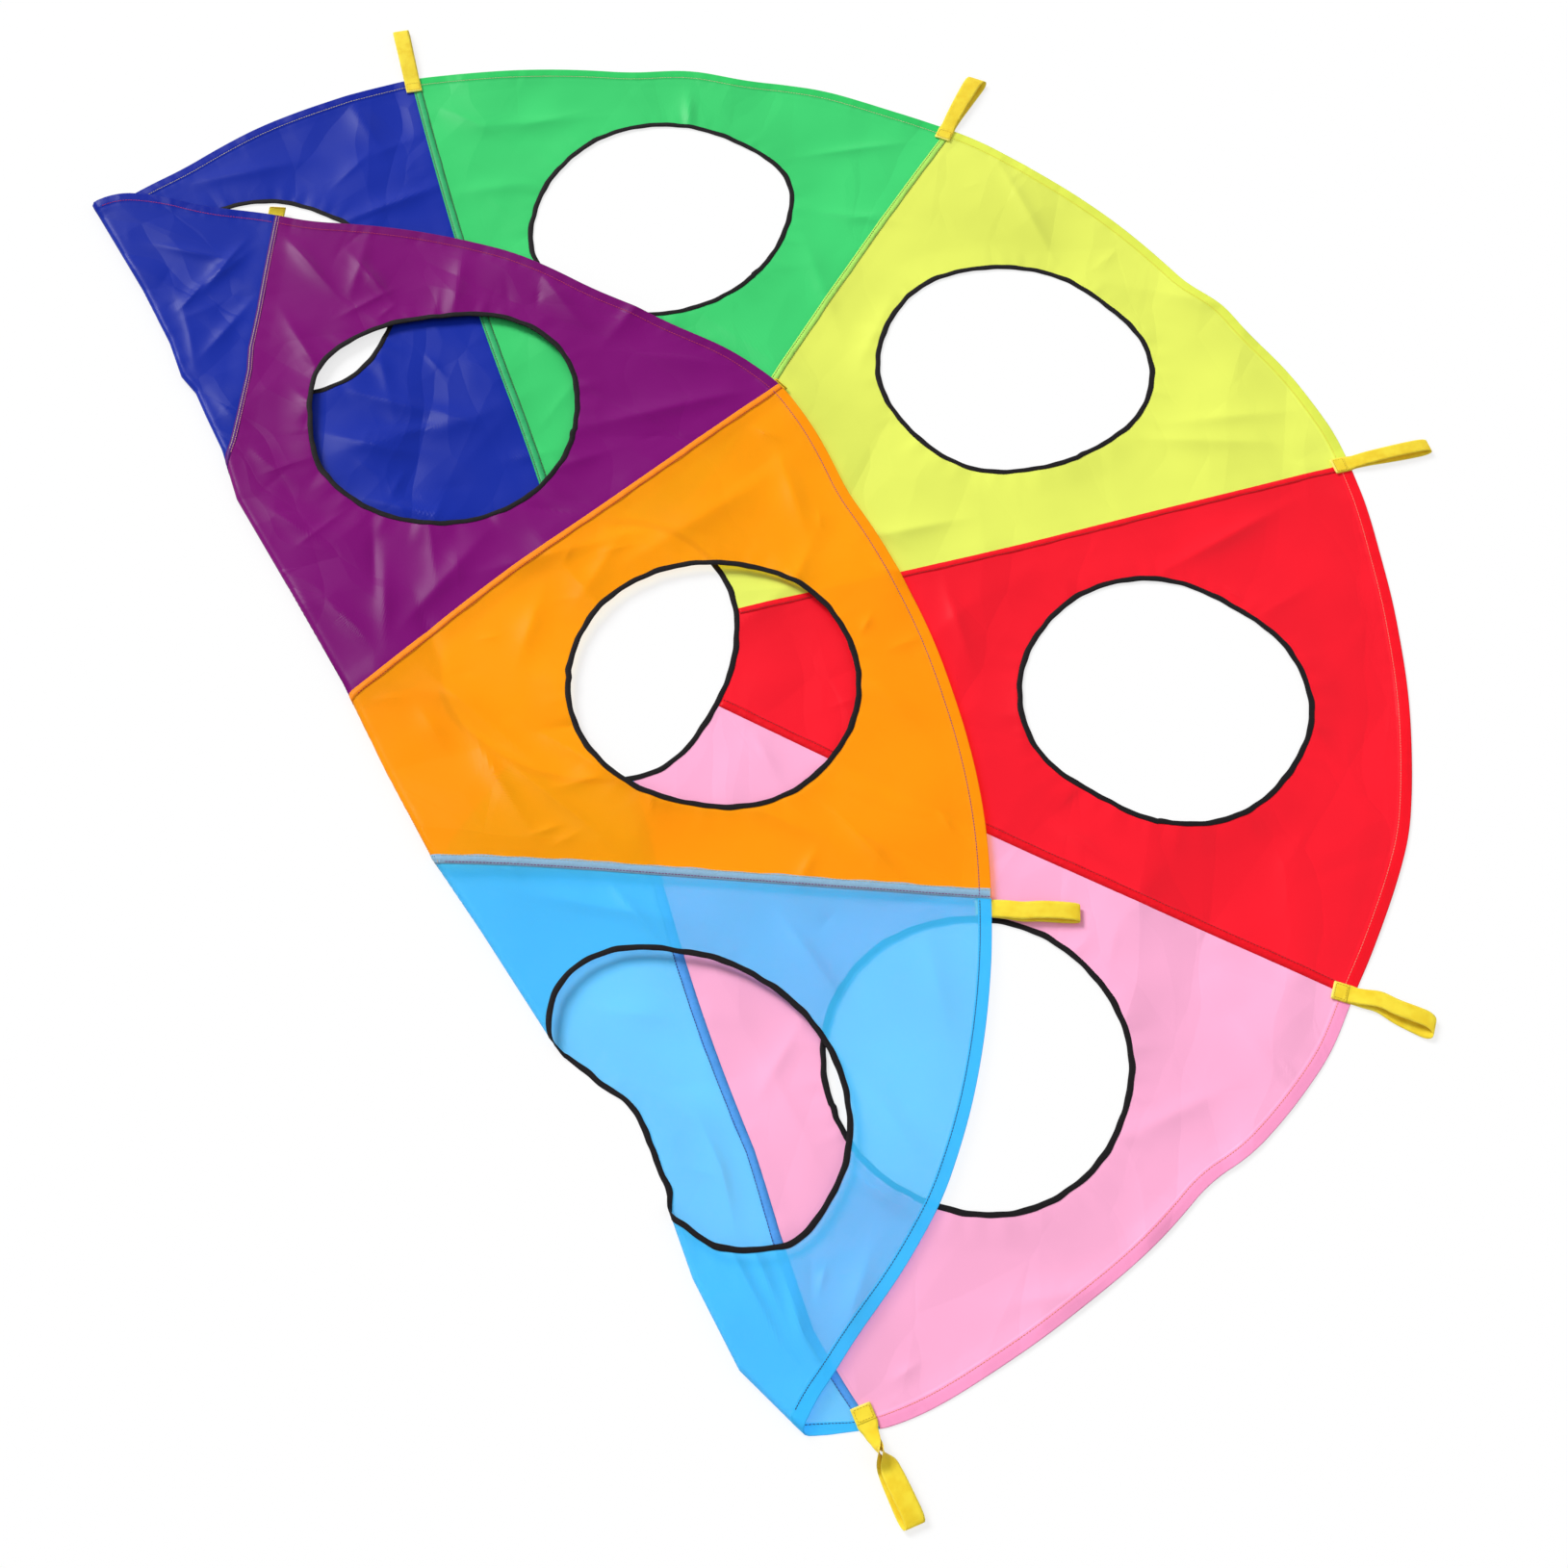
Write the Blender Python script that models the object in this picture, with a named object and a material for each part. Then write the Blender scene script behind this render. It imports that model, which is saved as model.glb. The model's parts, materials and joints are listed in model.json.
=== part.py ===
"""Play parachute: a round cloth of eight coloured panels with a bound hole in each and one in the middle,
eight webbing loops on its hem, laid on the floor and folded over once.

Everything is first drawn flat, as the cloth is cut and sewn: x and y on the cloth, with the cloth's centre at
zero, and h, the height above the outer face of the cloth, towards the side that the loops are sewn on. Then the
pieces are cut at the fold and draped: what lies past the fold line turns over it and comes down as the flap.
Lengths are in metres. Shares are read off the object and follow the size that they multiply.
"""

import math

import bmesh
import bpy
import numpy as np
from mathutils import Vector

for old_object in list(bpy.data.objects):
    bpy.data.objects.remove(old_object)

# Cloth
RADIUS = 0.900
CLOTH = 0.0005
GAP = 0.0003
HEM_WIDTH = 0.014
HEM_STEP = 0.002
SEAM_LAP = 0.010
SEAM_RAMP = 0.012
FIRST_SEAM_DEG = 109.7

# Holes and the tape that binds them
HOLE_RADIUS = 0.157
HOLE_TO_RIM = 0.104
CENTRE_HOLE_RADIUS = 0.166
TAPE = 0.0005
TAPE_WIDTH = 0.0055
TAPE_RAMP = 0.014

# The fold across the cloth
FOLD_LINE_DEG = 32.35
FOLD_TO_BLUE_HOLE = 0.004
FOLD_INTO_SKY_HOLE = 0.104
FOLD_HEIGHT = 0.012
FOLD_SETTLE = 0.070
FOLD_SIDE_REACH = 0.110

# How far the cloth puffs up between its seams and holes
LOWER_PUFF = 0.0015
FLAP_PUFF = 0.0030
PUFF_FROM_FOLD = 0.050

# Webbing loops
STRAP = 0.0010
STRAP_WIDTH = 0.020
PLY_GAP = 0.0003
LOOP_LENGTH = 0.105
LOOP_BULGE = 0.0075
LOOP_DROP = 0.030
ROOT_LENGTH = 0.016
TUCK_SHOWS = 0.004
BLUE_HOLE_TUCK_SHOWS = 0.015
SKEW = 0.015
LOOP_SIDE_STEP = 0.010

# Counts
SEAM_STEPS = 9
RIM_STEPS = 10
INNER_STEPS = 3
LOOP_STEPS = 22
ROOT_STEPS = 8
TWIST_STEPS = 72
BEND_STEPS = 3

# What the sizes above make together
HEM = 2 * CLOTH
SEAM_STACK = 2 * CLOTH + GAP
HEM_STACK = 2 * HEM + GAP
TAPE_LIFT = TAPE + GAP
TAPE_STACK = CLOTH + 2 * TAPE_LIFT
ROOT_STACK = 2 * STRAP + PLY_GAP
FLAP_REST = SEAM_STACK + LOWER_PUFF + HEM_STACK + ROOT_STACK + 3 * GAP
HOLE_RING = RADIUS - HOLE_TO_RIM - HOLE_RADIUS
HINGE_HEIGHT = FOLD_HEIGHT / 2
HALF_SECTOR = math.pi / 8

PANELS = ("green", "yellow", "red", "pink", "sky", "orange", "purple", "blue")
# Rim radius at each seam and at the three quarters that follow it, clockwise, as shares of RADIUS
RIM_SHARES = {
    "green": (1.005, 0.997, 1.004, 1.005),
    "yellow": (1.003, 0.996, 0.984, 1.014),
    "red": (1.018, 1.000, 1.004, 1.003),
    "pink": (0.992, 0.990, 0.973, 0.979),
    "sky": (1.000, 0.993, 1.007, 1.001),
    "orange": (0.990, 0.985, 0.981, 0.982),
    "purple": (1.020, 0.999, 0.998, 0.989),
    "blue": (0.986, 1.000, 1.000, 1.007),
}
# Hole radius every 30 degrees, anticlockwise from the side nearest the rim, as shares of HOLE_RADIUS
HOLE_SHARES = {
    "green": (1.02, 1.00, 0.97, 0.99, 1.06, 1.04, 0.99, 0.94, 0.93, 0.98, 1.09, 1.03),
    "yellow": (0.97, 0.99, 1.00, 1.04, 1.03, 1.04, 1.02, 1.03, 0.96, 0.95, 1.02, 1.04),
    "red": (1.00, 0.99, 0.95, 1.00, 1.02, 1.01, 1.02, 1.01, 0.93, 0.97, 0.99, 0.97),
    "pink": (0.97, 0.96, 0.99, 1.00, 1.02, 1.01, 1.00, 0.98, 0.96, 0.96, 0.96, 0.98),
    "sky": (1.06, 1.08, 0.98, 1.00, 0.96, 0.97, 1.02, 1.10, 1.00, 0.93, 0.93, 0.98),
    "orange": (0.97, 0.98, 1.00, 1.03, 1.00, 1.02, 1.03, 1.02, 1.01, 0.98, 0.96, 0.98),
    "purple": (1.02, 1.05, 1.00, 1.00, 1.01, 1.00, 0.98, 0.97, 0.97, 1.03, 0.97, 0.93),
    "blue": (1.04, 1.00, 0.93, 0.93, 0.98, 0.96, 1.00, 0.95, 0.93, 0.91, 0.93, 1.02),
    "centre": (0.95, 1.02, 1.06, 1.02, 1.00, 0.98, 1.00, 1.02, 1.00, 1.02, 1.05, 0.95),
}
# How far each seam wanders anticlockwise, at its inner end, middle and rim, as shares of RADIUS
SEAM_SHARES = (
    (0.002, 0.011, 0.004),
    (-0.002, 0.005, -0.002),
    (-0.008, -0.005, -0.002),
    (-0.006, -0.001, 0.008),
    (-0.012, -0.006, 0.002),
    (-0.010, 0.000, 0.008),
    (-0.020, -0.020, -0.018),
    (-0.005, 0.000, 0.002),
)
# Places along the fold as shares of RADIUS, and how far the folded edge lies inside the straight line there
FOLD_PLACE_SHARES = (-1.06, -0.97, -0.88, -0.76, -0.66, -0.45, -0.30, -0.10, 0.20, 0.42, 0.60, 0.80, 1.06)
FOLD_EDGE_SHARES = (0.050, 0.045, 0.018, 0.020, 0.034, 0.012, 0.001, 0.000, 0.000, 0.002, 0.013, 0.020, 0.017)

COLOURS = {
    "green": (0.05, 0.62, 0.19),
    "yellow": (0.80, 0.85, 0.13),
    "red": (0.89, 0.02, 0.03),
    "pink": (0.95, 0.46, 0.72),
    "sky": (0.07, 0.52, 0.97),
    "orange": (1.00, 0.38, 0.02),
    "purple": (0.24, 0.01, 0.21),
    "blue": (0.02, 0.04, 0.36),
    "binding": (0.01, 0.01, 0.01),
    "webbing": (0.88, 0.68, 0.02),
}


def unit(angle):
    return np.array([math.cos(angle), math.sin(angle)])


def left_of(direction):
    return np.array([-direction[1], direction[0]])


def ease(share):
    """0 up to 0, 1 from 1, and smooth between."""
    held = np.clip(share, 0.0, 1.0)
    return held * held * (3 - 2 * held)


def round_curve(shares, place):
    """A smooth closed curve through evenly spaced shares, read at a place that counts round it from 0 to 1."""
    count = len(shares)
    at = place * count
    first = math.floor(at)
    part = at - first
    a, b, c, d = (shares[(first + step) % count] for step in (-1, 0, 1, 2))
    return b + part * ((c - a) + part * ((2 * a - 5 * b + 4 * c - d) + part * (3 * (b - c) + d - a))) / 2


# The fold line: FOLD_NORMAL points from it over the part that stays on the floor
FOLD_NORMAL = unit(math.radians(FOLD_LINE_DEG))
FOLD_ALONG = left_of(FOLD_NORMAL)


def seam_angle(seam):
    return math.radians(FIRST_SEAM_DEG) - 2 * HALF_SECTOR * seam


def hole_centre(panel):
    return HOLE_RING * unit(seam_angle(panel) - HALF_SECTOR)


# The fold clears the blue hole and runs into the sky hole, whichever of the two lies further out
FOLD_OFFSET = max(
    HOLE_RADIUS * max(HOLE_SHARES["blue"][2:4])
    + TAPE_WIDTH
    + FOLD_TO_BLUE_HOLE
    - float(FOLD_NORMAL @ hole_centre(PANELS.index("blue"))),
    -FOLD_INTO_SKY_HOLE - float(FOLD_NORMAL @ hole_centre(PANELS.index("sky"))),
)


def past_fold(point):
    """How far a flat point lies from the fold line, positive on the part that stays on the floor."""
    return float(FOLD_NORMAL @ point[:2]) + FOLD_OFFSET


def fold_edge(along):
    return RADIUS * float(np.interp(along / RADIUS, FOLD_PLACE_SHARES, FOLD_EDGE_SHARES))


def flap_height(away):
    """Height of the flap's outer face at a distance from the fold: the fold's full height, settling to FLAP_REST."""
    slow_share = 0.35
    slow = slow_share * (1 - away / RADIUS)
    quick = (1 - slow_share) * math.exp(-((away / FOLD_SETTLE) ** 2))
    return FLAP_REST + (FOLD_HEIGHT - FLAP_REST) * (slow + quick)


def drape(point):
    """The place of a flat point (x, y, h) when the cloth is folded. Near the fold the cloth turns half round."""
    s = past_fold(point)
    along = float(FOLD_ALONG @ point[:2])
    h = point[2]
    quarter = HINGE_HEIGHT * math.pi / 2
    if abs(s) < quarter:
        turn = s / HINGE_HEIGHT
        away = HINGE_HEIGHT - (HINGE_HEIGHT - h) * math.cos(turn)
        z = HINGE_HEIGHT - (HINGE_HEIGHT - h) * math.sin(turn)
    else:
        away = abs(s) - quarter + HINGE_HEIGHT
        z = h if s > 0 else flap_height(away - HINGE_HEIGHT) - h
    inwards = fold_edge(along) * math.exp(-((away / FOLD_SIDE_REACH) ** 2))
    place = FOLD_NORMAL * (away - FOLD_OFFSET + inwards) + FOLD_ALONG * along
    return Vector((place[0], place[1], z))


def rim_radius(seam_place):
    """Rim radius at a place counted in panels, clockwise from the first seam."""
    shares = [share for colour in PANELS for share in RIM_SHARES[colour]]
    return RADIUS * round_curve(shares, (seam_place / len(PANELS)) % 1)


def rim_point(seam_place):
    return rim_radius(seam_place) * unit(seam_angle(seam_place))


def hole_edge(name, centre, outward, size, angle):
    """The point of a hole's cut edge in a direction, and that direction."""
    share = round_curve(HOLE_SHARES[name], ((angle - outward) / (2 * math.pi)) % 1)
    return centre + size * share * unit(angle)


def centre_edge(angle):
    return hole_edge("centre", np.zeros(2), 0.0, CENTRE_HOLE_RADIUS, angle)


def seam_point(seam, radius, sideways):
    """A point beside a seam: sideways is the distance to its anticlockwise side."""
    inner, middle, rim = SEAM_SHARES[seam % len(PANELS)]
    share = (radius - CENTRE_HOLE_RADIUS) / (RADIUS - CENTRE_HOLE_RADIUS)
    wander = inner + share * (4 * middle - 3 * inner - rim) + 2 * share**2 * (inner + rim - 2 * middle)
    along = unit(seam_angle(seam))
    return radius * along + (sideways + RADIUS * wander * ease(2 * share)) * left_of(along)


def seam_radii(seam):
    """Radii of the stations along a seam, from the centre hole to the rim: evenly spread as seen from the holes."""
    inner = float(np.linalg.norm(centre_edge(seam_angle(seam))))
    outer = rim_radius(seam)
    across, back = math.sin(HALF_SECTOR), math.cos(HALF_SECTOR)
    first = math.atan2(inner * across, inner * back - HOLE_RING)
    last = math.atan2(outer * across, outer * back - HOLE_RING)
    angles = np.linspace(first, last, SEAM_STEPS + 1)[1:-1]
    between = [HOLE_RING * math.sin(a) / math.sin(a - HALF_SECTOR) for a in angles]
    return [inner, *between, outer]


def centre_angles(panel):
    """Directions of the stations along the centre hole, from just past the lap of a panel's first seam to just
    before that of its second."""
    past_lap = 0.75 * SEAM_LAP / CENTRE_HOLE_RADIUS
    return np.linspace(seam_angle(panel) - past_lap, seam_angle(panel + 1) + past_lap, INNER_STEPS + 1)


def panel_outline(panel):
    """Stations round a panel as (point, inward step of the band, inward step of its ramp, lift, thickness).

    The band is the hem at the rim, the lap at a seam and the taped edge at the centre hole. A panel lies under
    its neighbour at its first seam and over the next neighbour at its second."""
    stations = []
    half_lap = SEAM_LAP / 2
    for side, seam in ((1, panel), (-1, panel + 1)):
        along = unit(seam_angle(seam))
        into = -side * left_of(along)
        edge = []
        radii = seam_radii(seam)
        for index, radius in enumerate(radii):
            at_rim, at_centre = index == len(radii) - 1, index == 0
            point = seam_point(seam, radius, side * half_lap)
            if at_centre:
                point = centre_edge(seam_angle(seam) + side * half_lap / radius)
            if at_rim:
                # The corner's own steps run along the rim, which may slope here
                run = rim_point(seam + side / RIM_STEPS) - point
                into = run / (run @ into)
            end = -HEM_WIDTH * along if at_rim else (TAPE_WIDTH + GAP) * along if at_centre else 0 * along
            end_ramp = -HEM_STEP * along if at_rim else TAPE_RAMP * along if at_centre else 0 * along
            lift = TAPE_LIFT if at_centre else 0.0
            if side < 0:
                lift += (HEM if at_rim else CLOTH) + GAP
            edge.append((point, SEAM_LAP * into + end, SEAM_RAMP * into + end_ramp, lift, HEM if at_rim else CLOTH))
        if side > 0:
            stations += edge
            for step in range(1, RIM_STEPS):
                out = unit(seam_angle(panel + step / RIM_STEPS))
                stations.append((rim_point(panel + step / RIM_STEPS), -HEM_WIDTH * out, -HEM_STEP * out, 0.0, HEM))
        else:
            stations += edge[::-1]
    # Back along the centre hole, from the second seam to the first. At both ends the ramp leans past the seam's
    for step, angle in enumerate(centre_angles(panel)[::-1]):
        out = unit(angle)
        lean = {0: 1, INNER_STEPS: -1}.get(step, 0) * 1.5 * SEAM_RAMP * left_of(out)
        lift = TAPE_LIFT + (CLOTH + GAP if step == 0 else 0.0)
        stations.append((centre_edge(angle), (TAPE_WIDTH + GAP) * out, TAPE_RAMP * out + lean, lift, CLOTH))
    return stations


def hole_angles(panel):
    """Directions from a panel's hole to its outline stations, which place the stations of the hole's own edge."""
    centre = hole_centre(panel)
    toward = [station[0] - centre for station in panel_outline(panel)]
    return [math.atan2(t[1], t[0]) for t in toward]


def panel_rows(panel):
    """A row of (x, y, outer height, inner height) at each station, from the hole to the outline."""
    colour = PANELS[panel]
    centre = hole_centre(panel)
    outward = seam_angle(panel) - HALF_SECTOR
    rows = []
    for angle, (point, band, ramp, lift, thickness) in zip(hole_angles(panel), panel_outline(panel)):
        edge = hole_edge(colour, centre, outward, HOLE_RADIUS, angle)
        out = unit(angle)
        inner_end = edge + (TAPE_WIDTH + TAPE_RAMP) * out
        outer_end = point + band + ramp
        middle = (inner_end + outer_end) / 2
        puff = puff_share(angle - outward) * float(ease((abs(past_fold(middle)) - PUFF_FROM_FOLD) / PUFF_FROM_FOLD))
        rings = [
            (edge, TAPE_LIFT, CLOTH, 0.0),
            (edge + (TAPE_WIDTH + GAP) * out, TAPE_LIFT, CLOTH, 0.0),
            (inner_end, 0.0, CLOTH, 0.0),
            (middle, 0.0, CLOTH, puff),
            (outer_end, 0.0, CLOTH, 0.0),
            (point + band, lift, thickness, 0.0),
            (point, lift, thickness, 0.0),
        ]
        rows.append([(*p, raised(p, low, share), raised(p, low + thick, share)) for p, low, thick, share in rings])
    return rows


def puff_share(angle):
    """Where a panel puffs up round its hole: three soft swellings with flat cloth between."""
    swellings = 3
    return max(0.0, math.cos(swellings * angle))


def raised(point, height, share):
    """The height h of a puffed point. Both layers puff upwards, which is away from h on the flap."""
    return height + share * LOWER_PUFF if past_fold(point) > 0 else height - share * FLAP_PUFF


def binding_sections(name, centre, outward, size, angles, stack):
    """A tape folded round a cut edge, a U in section, open away from the hole. stack is the cloth that it holds."""
    low, high = TAPE, TAPE + stack + 2 * GAP
    top = high + TAPE
    back, wall = -GAP - TAPE, -GAP
    profile = (
        (back, 0.0),
        (TAPE_WIDTH, 0.0),
        (TAPE_WIDTH, low),
        (wall, low),
        (wall, high),
        (TAPE_WIDTH, high),
        (TAPE_WIDTH, top),
        (back, top),
    )
    sections = []
    for angle in angles:
        edge = hole_edge(name, centre, outward, size, angle)
        sections.append([(*(edge + a * unit(angle)), h) for a, h in profile])
    return sections


def strap_between(mesh, row, following, leaning):
    """One step of a four-sided strap. Its two broad faces are split on the same diagonal, so that they stay apart
    where the strap twists; leaning picks which diagonal."""
    a, b, c, d = row
    e, f, g, h = following
    broad = ((a, f, b), (a, e, f), (d, c, g), (d, g, h)) if leaning else ((a, e, b), (e, f, b), (d, c, h), (c, g, h))
    for corners in (*broad, (b, f, g, c), (d, h, e, a)):
        mesh.faces.new(corners)


def strap_solid(sections):
    """A strap swept through four-cornered sections. It leans one way out to the tip and the other way back."""
    mesh = bmesh.new()
    rows = [[mesh.verts.new(point) for point in section] for section in sections]
    for step, (row, following) in enumerate(zip(rows, rows[1:])):
        strap_between(mesh, row, following, leaning=step < len(rows) // 2)
    mesh.faces.new(rows[0])
    mesh.faces.new(rows[-1][::-1])
    bmesh.ops.recalc_face_normals(mesh, faces=mesh.faces)
    return mesh


def swept_ring(sections):
    """A closed ring swept through sections that each list the same points."""
    mesh = bmesh.new()
    rows = [[mesh.verts.new(point) for point in section] for section in sections]
    size = len(rows[0])
    for row, following in zip(rows, rows[1:] + rows[:1]):
        for i in range(size):
            j = (i + 1) % size
            mesh.faces.new((row[i], following[i], following[j], row[j]))
    bmesh.ops.recalc_face_normals(mesh, faces=mesh.faces)
    return mesh


def split_quad(corners):
    """The two triangles of a flat quad: split from its corner furthest past the fold, or the other way where that
    cut would leave the quad. Panels that lap are split alike there, so they bend alike and stay apart."""
    furthest = max(range(4), key=lambda index: past_fold(np.array(corners[index].co)))
    for first in (furthest, furthest + 1):
        a, b, c, d = (corners[(first + step) % 4] for step in range(4))
        halves = ((a, b, c), (a, c, d))
        turns = [(q.co - p.co).cross(r.co - p.co).z for p, q, r in halves]
        if turns[0] * turns[1] > 0:
            break
    return halves


def flat_skin(rows):
    """A flat sheet of triangles through the rows, closed round the hole, which keeps both heights on each point."""
    mesh = bmesh.new()
    outer, inner = (mesh.verts.layers.float.new(face) for face in ("outer", "inner"))
    grid = []
    for row in rows:
        grid.append([mesh.verts.new((x, y, 0)) for x, y, _, _ in row])
        for vertex, (_, _, low, high) in zip(grid[-1], row):
            vertex[outer], vertex[inner] = low, high
    for row, following in zip(grid, grid[1:] + grid[:1]):
        for i in range(len(row) - 1):
            for corners in split_quad([row[i], following[i], following[i + 1], row[i + 1]]):
                mesh.faces.new(corners)
    return mesh


def thickened(skin):
    """The draped solid between a flat skin's two heights. Both faces have the same triangles, so the cloth keeps
    its thickness where it bends."""
    layers = [skin.verts.layers.float[face] for face in ("outer", "inner")]
    solid = bmesh.new()
    pair = {}
    for vertex in skin.verts:
        pair[vertex] = [solid.verts.new(drape(np.array([*vertex.co[:2], vertex[layer]]))) for layer in layers]
    for face in skin.faces:
        solid.faces.new([pair[vertex][0] for vertex in face.verts])
        solid.faces.new([pair[vertex][1] for vertex in reversed(face.verts)])
    for edge in skin.edges:
        if edge.is_boundary:
            loop = edge.link_loops[0]
            (a, a_inner), (b, b_inner) = pair[loop.vert], pair[loop.link_loop_next.vert]
            solid.faces.new((b, a, a_inner))
            solid.faces.new((b, a_inner, b_inner))
    skin.free()
    return solid


def cut_across(mesh, place, clear_lower=False, clear_flap=False):
    """Cuts a flat mesh by the upright plane at a distance from the fold line. A solid is capped where a side is
    cleared, and a skin stays all triangles."""
    is_skin = bool(mesh.verts.layers.float.keys())
    normal = Vector((*FOLD_NORMAL, 0.0))
    cut = bmesh.ops.bisect_plane(
        mesh,
        geom=mesh.verts[:] + mesh.edges[:] + mesh.faces[:],
        dist=CLOTH / 1000,
        plane_co=normal * (place - FOLD_OFFSET),
        plane_no=normal,
        clear_outer=clear_lower,
        clear_inner=clear_flap,
    )
    if is_skin:
        bmesh.ops.triangulate(mesh, faces=[face for face in mesh.faces if len(face.verts) > 3])
    elif clear_lower or clear_flap:
        edges = [e for e in cut["geom_cut"] if isinstance(e, bmesh.types.BMEdge)]
        bmesh.ops.holes_fill(mesh, edges=edges, sides=0)


def folded_parts(whole):
    """The flat mesh cut at the fold: {"lower": mesh, "flap": mesh}, without a side that holds nothing."""
    places = [past_fold(np.array(vertex.co)) for vertex in whole.verts]
    crosses = min(places) < 0 < max(places)
    parts = {}
    for side, sign in (("lower", 1), ("flap", -1)):
        if not crosses and sign * places[0] < 0:
            continue
        mesh = whole.copy()
        if crosses:
            cut_across(mesh, sign * GAP / 2, clear_lower=sign < 0, clear_flap=sign > 0)
        for step in range(1, BEND_STEPS + 1):
            cut_across(mesh, sign * HINGE_HEIGHT * (math.pi / 2) * step / BEND_STEPS)
        parts[side] = mesh
    return parts


def finish(mesh, name, colour, body, draped=False):
    """Drapes a flat solid if asked, and makes it an object that belongs to a body."""
    if draped:
        for vertex in mesh.verts:
            vertex.co = drape(np.array(vertex.co))
    if mesh.calc_volume(signed=True) < 0:
        bmesh.ops.reverse_faces(mesh, faces=mesh.faces)
    data = bpy.data.meshes.new(name)
    mesh.to_mesh(data)
    mesh.free()
    data.shade_smooth()
    data.set_sharp_from_angle(angle=math.radians(SHARP_DEG))
    data.materials.append(material(colour))
    piece = bpy.data.objects.new(name, data)
    bpy.context.scene.collection.objects.link(piece)
    owner = bodies[body]
    data.transform(owner.matrix_world.inverted())
    piece.parent = owner
    return piece


SHARP_DEG = 40


def material(colour):
    """A matt woven finish in one of the cloth's colours, made once for each."""
    made = bpy.data.materials.get(colour)
    if made:
        return made
    made = bpy.data.materials.new(colour)
    made.use_nodes = True
    shader = made.node_tree.nodes["Principled BSDF"]
    shader.inputs["Base Color"].default_value = (*COLOURS[colour], 1)
    shader.inputs["Roughness"].default_value = 0.8 if colour in ("binding", "webbing") else 0.55
    shader.inputs["Metallic"].default_value = 0
    return made


def new_body(name, pivot):
    """An empty on a body's joint. Its pieces hang on it, so turning it turns them."""
    empty = bpy.data.objects.new(name, None)
    empty.location = pivot
    empty.empty_display_size = HEM_WIDTH
    bpy.context.scene.collection.objects.link(empty)
    bpy.context.view_layer.update()
    bodies[name] = empty
    return empty


bodies = {}


def make_panels_and_bindings():
    for panel, colour in enumerate(PANELS):
        body_of = {"lower": "lower_layer", "flap": "flap"}
        panel_parts = folded_parts(flat_skin(panel_rows(panel)))
        for side, skin in panel_parts.items():
            name = f"panel_{colour}_{side}" if len(panel_parts) > 1 else f"panel_{colour}"
            finish(thickened(skin), name, colour, body_of[side])
        outward = seam_angle(panel) - HALF_SECTOR
        tape = binding_sections(colour, hole_centre(panel), outward, HOLE_RADIUS, hole_angles(panel), CLOTH)
        tape_parts = folded_parts(swept_ring(tape))
        for side, mesh in tape_parts.items():
            name = f"binding_{colour}_{side}" if len(tape_parts) > 1 else f"binding_{colour}"
            finish(mesh, name, "binding", body_of[side], draped=True)
    angles = [angle for panel in range(len(PANELS)) for angle in centre_angles(panel)]
    tape = binding_sections("centre", np.zeros(2), 0.0, CENTRE_HOLE_RADIUS, angles, SEAM_STACK)
    finish(swept_ring(tape), "binding_centre", "binding", "lower_layer", draped=True)


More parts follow.
